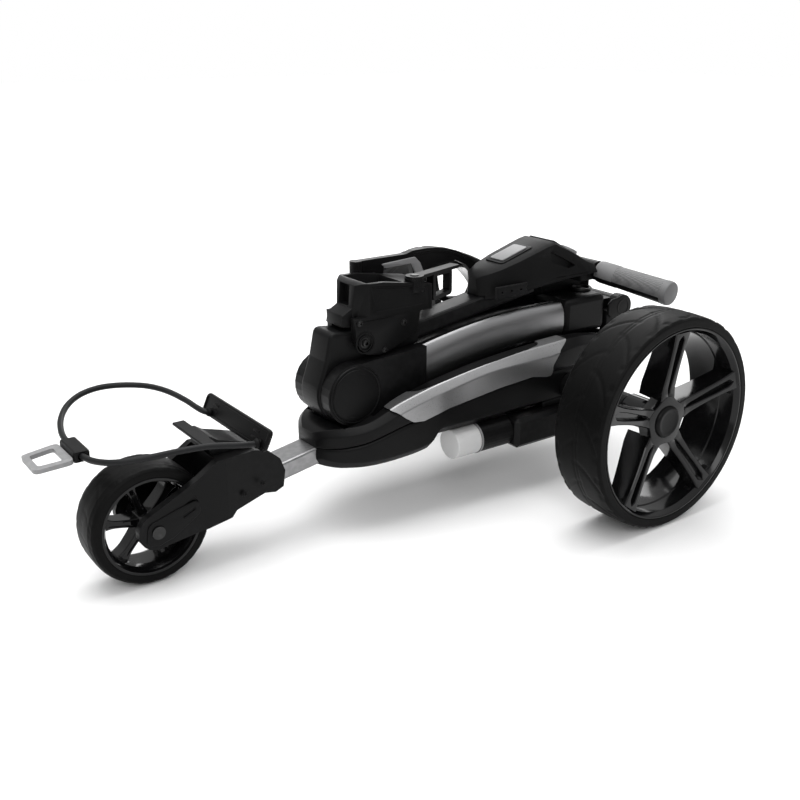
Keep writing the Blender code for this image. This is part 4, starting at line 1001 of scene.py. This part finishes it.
BUTTON_BASE = (0.0985, -0.004, 0.2585)
button_ring = [(0.0165, 0.0), (0.0165, 0.0062), (0.0155, 0.008), (0.0132, 0.008), (0.012, 0.003)]
button_ring = lathe(soft_profile(button_ring + [(0.012, 0.0)], 0.0008, 3), BUTTON_BASE, (0, 0, 1))
finished("release_button_ring", button_ring, DARK_STEEL, "release", "release_button")
dome = [(0.0, 0.0062), (0.006, 0.006), (0.01, 0.0052), (0.0118, 0.0042), (0.0118, 0.0), (0.0, 0.0)]
finished("release_button_centre", lathe(dome, BUTTON_BASE, (0, 0, 1), 72), BLACK, "release")

# The collar's raised rear deck behind the release button, and feet under the rear hinge
deck = [(0.018, 0.046), (0.1165, 0.046), (0.129, 0.033), (0.129, 0.004), (0.115, 0.013), (0.03, 0.013)]
deck = slab([soft_profile(deck, 0.006, 4)], 0.268, 0.0125, 0.004, "plan", 3)
finished("collar_rear_deck", deck, SOFT_BLACK, "frame")
foot = [(0.1147, 0.2345), (0.1147, 0.19), (0.136, 0.186), (0.15, 0.205), (0.15, 0.2345)]
feet = [slab([soft_profile(foot, 0.004, 2)], sign * 0.0402, 0.0072, 0.0018) for sign in (-1, 1)]
finished("rear_hinge_feet", joined(*feet), BLACK, "chassis")

# The stem's knuckle, rounded over, between the two front hinge housings
knuckle = arc(STEM_PIVOT, 0.0455, 165, 360, 36)
knuckle += [(-0.3, 0.2285), (-0.232, 0.2362), (-0.232, 0.2735), (-0.24, 0.2865), (-0.33, 0.2865)]
knuckle += [(-0.341, 0.2705), (-0.376, 0.2745), (-0.384, 0.236)]
knuckle = slab([soft_profile(knuckle, 0.01, 5)], 0.0, 0.0236, 0.005, resolution=4)
finished("stem_knuckle_shell", knuckle, BLACK, "stem", "stem_knuckle")

# ---- lower cradle and motor

CRADLE_LEAN = math.radians(25)
CRADLE_MIDDLE = (-0.507, 0, 0.1745)

# The plate is drawn flat, facing forward, then leaned back into place
plate = [slab([round_box(0.175, 0.029, 0.0075, 5)], 0.0, 0.002, 0.0012, "front", 3)]
rims = [round_box(0.1735, 0.0275, 0.007, 5), round_box(0.1665, 0.0205, 0.0045, 5)]
plate += [slab(rims, face, 0.0009, 0.0005, "front") for face in (-0.0021, 0.0021)]
for sign in (-1, 1):
    for row in (-0.0045, 0.0045):
        slot = round_box(0.015, 0.0032, 0.0014, 3, (sign * 0.056, row))
        plate.append(slab([slot], -0.002, 0.0006, 0.0003, "front"))
plate = placed(joined(*plate), CRADLE_MIDDLE, CRADLE_LEAN)
finished("cradle_plate_body", plate, BLACK, "chassis", "lower_cradle_plate")
SLEEVE = [
    (0.0044, 0.0), (0.0062, 0.0), (0.0066, 0.0014), (0.006, 0.0034), (0.0044, 0.006), (0.0041, 0.003)
]
for side, strap_y in (("left", -0.071), ("right", 0.064)):
    sleeve = lathe(soft_profile(SLEEVE, 0.0004, 2), (-0.5128, strap_y, 0.169), (-1, 0, 0), 48)
    finished("strap_sleeve_" + side, sleeve, SOFT_BLACK, "chassis")

MOTOR_LINE = (0, -0.07, 0.0955)
cap_ring = [(0.0231, -0.1712), (0.0231, -0.168), (0.0222, -0.168), (0.0222, -0.1712)]
cap_ring = soft_profile(cap_ring, 0.0003, 2)
finished("motor_cap_ring", lathe(cap_ring, MOTOR_LINE, (1, 0, 0), 72), GREY, "chassis")

# ---- upper bag support


def screw(place, sign, head, height):
    """A domed cap screw with a socket, on a washer, facing left or right."""
    profile = [(head * 1.35, 0.0), (head * 1.35, 0.0006), (head, 0.0007), (head, height * 0.6)]
    profile += [(head * 0.9, height * 0.88), (head * 0.72, height), (head * 0.5, height)]
    profile += [(head * 0.46, height * 0.35), (0.0, height * 0.35), (0.0, 0.0)]
    return lathe(profile, place, (0, sign, 0), 30)


def copy_of(node):
    """A CAD node's mesh, measured from the rear axle, with its flat faces whole."""
    mesh = NODES[node].data.copy()
    mesh.transform(Matrix.Translation(-SHIFT))
    return welded(mesh, math.radians(1.5))


CASTING_HALF = 0.036
STEM_BOLT = (-0.3312, 0.2569)
# Each screw's x and z, and its head's radius and height
CASTING_SCREWS = [
    (-0.3385, 0.2845, 0.0032, 0.002),
    (-0.2677, 0.2753, 0.0036, 0.0024),
    (-0.2992, 0.242, 0.003, 0.002),
    (*STEM_BOLT, 0.0052, 0.0042),
]
CASTING_FRONT, FRONT_SHIFT = -0.32, 0.24
# Each groove's outline on the casting's cheeks, and its depth
CASTING_GROOVES = [
    ([(-0.343, 0.325), (-0.336, 0.326), (-0.328, 0.296), (-0.3345, 0.293)], 0.0018),
    ([(-0.32, 0.33), (-0.23, 0.319), (-0.23, 0.296), (-0.312, 0.296)], 0.0008),
    ([(-0.344, 0.2862), (-0.284, 0.2862), (-0.284, 0.2852), (-0.344, 0.2848)], 0.001),
]

casting_screws, bolt_rings, cuts = [], [], []
for sign in (-1, 1):
    for x, z, head, height in CASTING_SCREWS:
        casting_screws.append(screw((x, sign * CASTING_HALF, z), sign, head, height))
    for outer, inner, tall in ((0.015, 0.013, 0.0012), (0.0112, 0.0092, 0.0018)):
        band = soft_profile([(outer, 0.0), (outer, tall), (inner, tall), (inner, 0.0)], 0.0004, 2)
        bolt = (STEM_BOLT[0], sign * CASTING_HALF, STEM_BOLT[1])
        bolt_rings.append(lathe(band, bolt, (0, sign, 0), 72))
    for outline, deep in CASTING_GROOVES:
        outline = soft_profile(outline, 0.0016, 2)
        cuts.append(plain_slab(outline, sign * (CASTING_HALF - deep), sign * 0.042))
casting = copy_of("bag_support")
for vert in casting.vertices:
    vert.co.x += max(0.0, CASTING_FRONT - vert.co.x) * FRONT_SHIFT
casting = rounded_edges(carved(casting, *cuts), 0.0011, 2, 32)
finished("casting_screws", joined(*casting_screws), DARK_STEEL, "stem")
finished("bag_casting_body", casting, BLACK, "stem", "bag_support", 40)
finished("casting_bolt_rings", joined(*bolt_rings), BLACK, "stem")

# ---- bag arms

lining = [(-0.2523, 0.3387), (-0.1934, 0.3421), (-0.1844, 0.3331), (-0.1753, 0.3128)]
lining += [(-0.1915, 0.315), (-0.1987, 0.3334), (-0.2438, 0.332)]
lining = slab([soft_profile(lining, 0.0025, 3)], 0.0412, 0.0016, 0.0008)
finished("arm_right_lining", lining, GREY, "arm_right")
RIDGE_PATH = [
    (-0.1955, 0.3512), (-0.1708, 0.3518), (-0.153, 0.3506), (-0.1345, 0.3475), (-0.1155, 0.3416)
]
RIDGE_PATH += [(-0.096, 0.3318)]


def tube_along(points, radius, steps=14):
    """A round bead along a line of points, narrow at its two ends."""
    rows = []
    last = len(points) - 1
    for i, place in enumerate(points):
        along = (points[min(i + 1, last)] - points[max(i - 1, 0)]).normalized()
        side = along.cross(Vector((0, 1, 0))).normalized()
        other = along.cross(side)
        size = radius * (0.35 if i in (0, last) else 1.0)
        turns = [2 * math.pi * k / steps for k in range(steps)]
        rows.append([place + side * size * math.cos(t) + other * size * math.sin(t) for t in turns])
    return grid_mesh(rows)


beads = []
for y in (0.0424, 0.0536):
    for inset in (0.0042, 0.0064):
        line = smooth_route([(x, y, z - inset) for x, z in RIDGE_PATH], 6)
        beads.append(tube_along(line, 0.0007))
finished("arm_right_ridges", joined(*beads), BLACK, "arm_right")

LEFT_ARM_PIVOT = Vector((-0.243, -0.026, 0.3345))
knob = LEFT_ARM_PIVOT - Vector((0, 0, 0.011))
knurls = ring_of_pads((-0.0006, -0.0004, -0.008), (0.0006, 0.001, 0.008), 0.0004, 36, knob, 0.0126)
finished("arm_left_knurling", knurls, BLACK, "arm_left")
washer = soft_profile([(0.006, 0.0), (0.006, 0.0012), (0.0, 0.0012), (0.0, 0.0)], 0.0004, 2)
pivot_head = lathe(washer, LEFT_ARM_PIVOT, (0, 0, 1), 40)
finished("arm_left_pivot_head", pivot_head, DARK_STEEL, "arm_left")

# ---- handle head

FRONT_SLOPE = math.atan2(0.03, 0.101)
REAR_SLOPE = math.radians(29.5)
# A three-sided pocket in each cheek, and a seam below it
POCKET = [(-0.0031, 0.3405), (0.047, 0.314), (0.0339, 0.3108), (-0.0019, 0.3244)]
SEAM = [(-0.088, 0.299), (0.075, 0.3002), (0.075, 0.301), (-0.088, 0.2998)]

head_cuts = []
for sign in (-1, 1):
    for outline, cheek in ((soft_profile(POCKET, 0.002, 3), 0.0345), (SEAM, 0.0408)):
        head_cuts.append(plain_slab(outline, sign * cheek, sign * 0.06))
head = rounded_edges(carved(copy_of("head_housing"), *head_cuts), 0.0016, 3, 30)
finished("head_shell", head, SOFT_BLACK, "stem", "head_housing", 40)

# Bezel round the display, and the dial's finger ribs
bezel_out = round_box(0.04, 0.056, 0.004)
bezel_in = round_box(0.0366, 0.0506, 0.0025)
bezel = slab([bezel_out, bezel_in], 0.0003, 0.0007, 0.0004, "plan")
finished("display_bezel", placed(bezel, (0.0295, 0, 0.3421), REAR_SLOPE), BLACK, "stem")
ribs = ring_of_pads((-0.0005, -0.0004, -0.003), (0.0005, 0.0007, 0.0006), 0.0002, 28, (0, 0, 0), 0.0149)
finished("dial_ribs", placed(ribs, (0.066, 0, 0.3226), REAR_SLOPE), GREY, "dial")

# A light panel set in the head's forward slope, with a dark frame round it
border = slab([round_box(0.062, 0.04, 0.006)], 0.0, 0.0009, 0.0006, "plan")
border = placed(border, (-0.052, 0, 0.337), -FRONT_SLOPE)
finished("head_panel_frame", border, SOFT_BLACK, "stem")
panel = slab([round_box(0.05, 0.029, 0.0045)], 0.001, 0.0011, 0.0006, "plan")
panel = placed(panel, (-0.052, 0, 0.3372), -FRONT_SLOPE)
finished("head_light_panel", panel, PANEL, "stem")

# ---- grips

HANDLE_X, HANDLE_Z = 0.108, 0.2955
BAR_HALF = 0.03
GRIP_LENGTH = 0.132
KNURLED = (0.038, 0.1245)
UNDERSIDE = -0.3  # faces whose normals point lower than this are below the grip


def grip_mesh(root, out):
    """A grip that swells towards a flat, closed end."""
    end = GRIP_LENGTH
    profile = [(0.0, end), (0.015, end), (0.017, end - 0.0008), (0.018, end - 0.003)]
    profile += [(0.0183, end - 0.006), (0.0183, end - 0.01), (0.0179, end - 0.0106)]
    for k in range(15):
        reach = k / 14
        profile.append((0.0179 - 0.0014 * reach**0.8, end - 0.011 - reach * (end - 0.048)))
    profile += [(0.017, 0.0355), (0.017, 0.006), (0.0162, 0.0012), (0.0, 0.0012)]
    return lathe(profile, root + out * 0.003, out)


for side, sign in SIDES:
    root = Vector((HANDLE_X, sign * BAR_HALF, HANDLE_Z))
    out = Vector((0.105, sign, -0.091)).normalized()
    grip = grip_mesh(root, out)
    looks = [GRIP, SOFT_BLACK, SMOOTH_GRIP]
    finished("handle_grip_" + side, grip, looks, "stem", "grip_" + side)
    for face in grip.polygons:
        along = (face.center - root - SHIFT).dot(out)
        if face.normal.z < UNDERSIDE and along < KNURLED[1]:
            face.material_index = looks.index(SOFT_BLACK)
        elif along > KNURLED[1] or along < KNURLED[0]:
            face.material_index = looks.index(SMOOTH_GRIP)

# ---- fork

FORK_FACE = 0.0445
BOSS = [
    (0.012, 0.0), (0.012, 0.0008), (0.0112, 0.0014), (0.008, 0.0014), (0.0076, 0.0008),
    (0.0, 0.0008), (0.0, 0.0),
]
RAISED = [(-0.656, 0.06), (-0.64, 0.056), (-0.62, 0.062), (-0.583, 0.085), (-0.585, 0.104)]
RAISED += [(-0.616, 0.097), (-0.652, 0.086)]
GROOVE = [(-0.606, 0.084), (-0.59, 0.0915), (-0.591, 0.095), (-0.608, 0.088)]

fork_parts, axle_heads = [], []
for sign in (-1, 1):
    axle = Vector((FRONT_AXIS[0], sign * FORK_FACE, FRONT_AXIS[2]))
    fork_parts.append(lathe(BOSS, axle, (0, sign, 0), 64))
    outlines = [soft_profile(RAISED, 0.01, 4), soft_profile(GROOVE, 0.0012, 2)]
    fork_parts.append(slab(outlines, sign * 0.0449, 0.0013, 0.0009))
    for x, z in ((-0.522, 0.093), (-0.496, 0.101)):
        fork_parts.append(screw((x, sign * FORK_FACE, z), sign, 0.003, 0.0018))
    axle_heads.append(screw((axle.x, sign * 0.045, axle.z), sign, 0.0044, 0.0024))
finished("fork_fittings", joined(*fork_parts), BLACK, "chassis")
finished("front_axle_heads", joined(*axle_heads), BLACK, "chassis")

# ---- CAD pieces that stay

FINISH = {"motor_end_cap": PALE, "front_axle": DARK_STEEL, "stem_pivot_pin": DARK_STEEL}
SLOT_OF = {row["node"]: row["material_slot"] for row in frame["record"]["subparts"]}
EDGE_WIDTH = {"satin_black": 0.0012, "gunmetal": 0.001, "silver_accent": 0.0006, "gloss_black": 0.0009}

for node, piece in NODES.items():
    slot = SLOT_OF[node]
    mesh = piece.data
    mesh.materials.clear()
    mesh.materials.append(FINISH.get(node, LOOKS[slot][0]))
    mesh.shade_smooth()
    mesh.set_sharp_from_angle(angle=math.radians(30))
    if slot in EDGE_WIDTH:
        soften = piece.modifiers.new("soft_edges", "BEVEL")
        soften.width = EDGE_WIDTH[slot]
        soften.segments = 2
        soften.limit_method = "ANGLE"
        soften.angle_limit = math.radians(32)
        soften.harden_normals = True
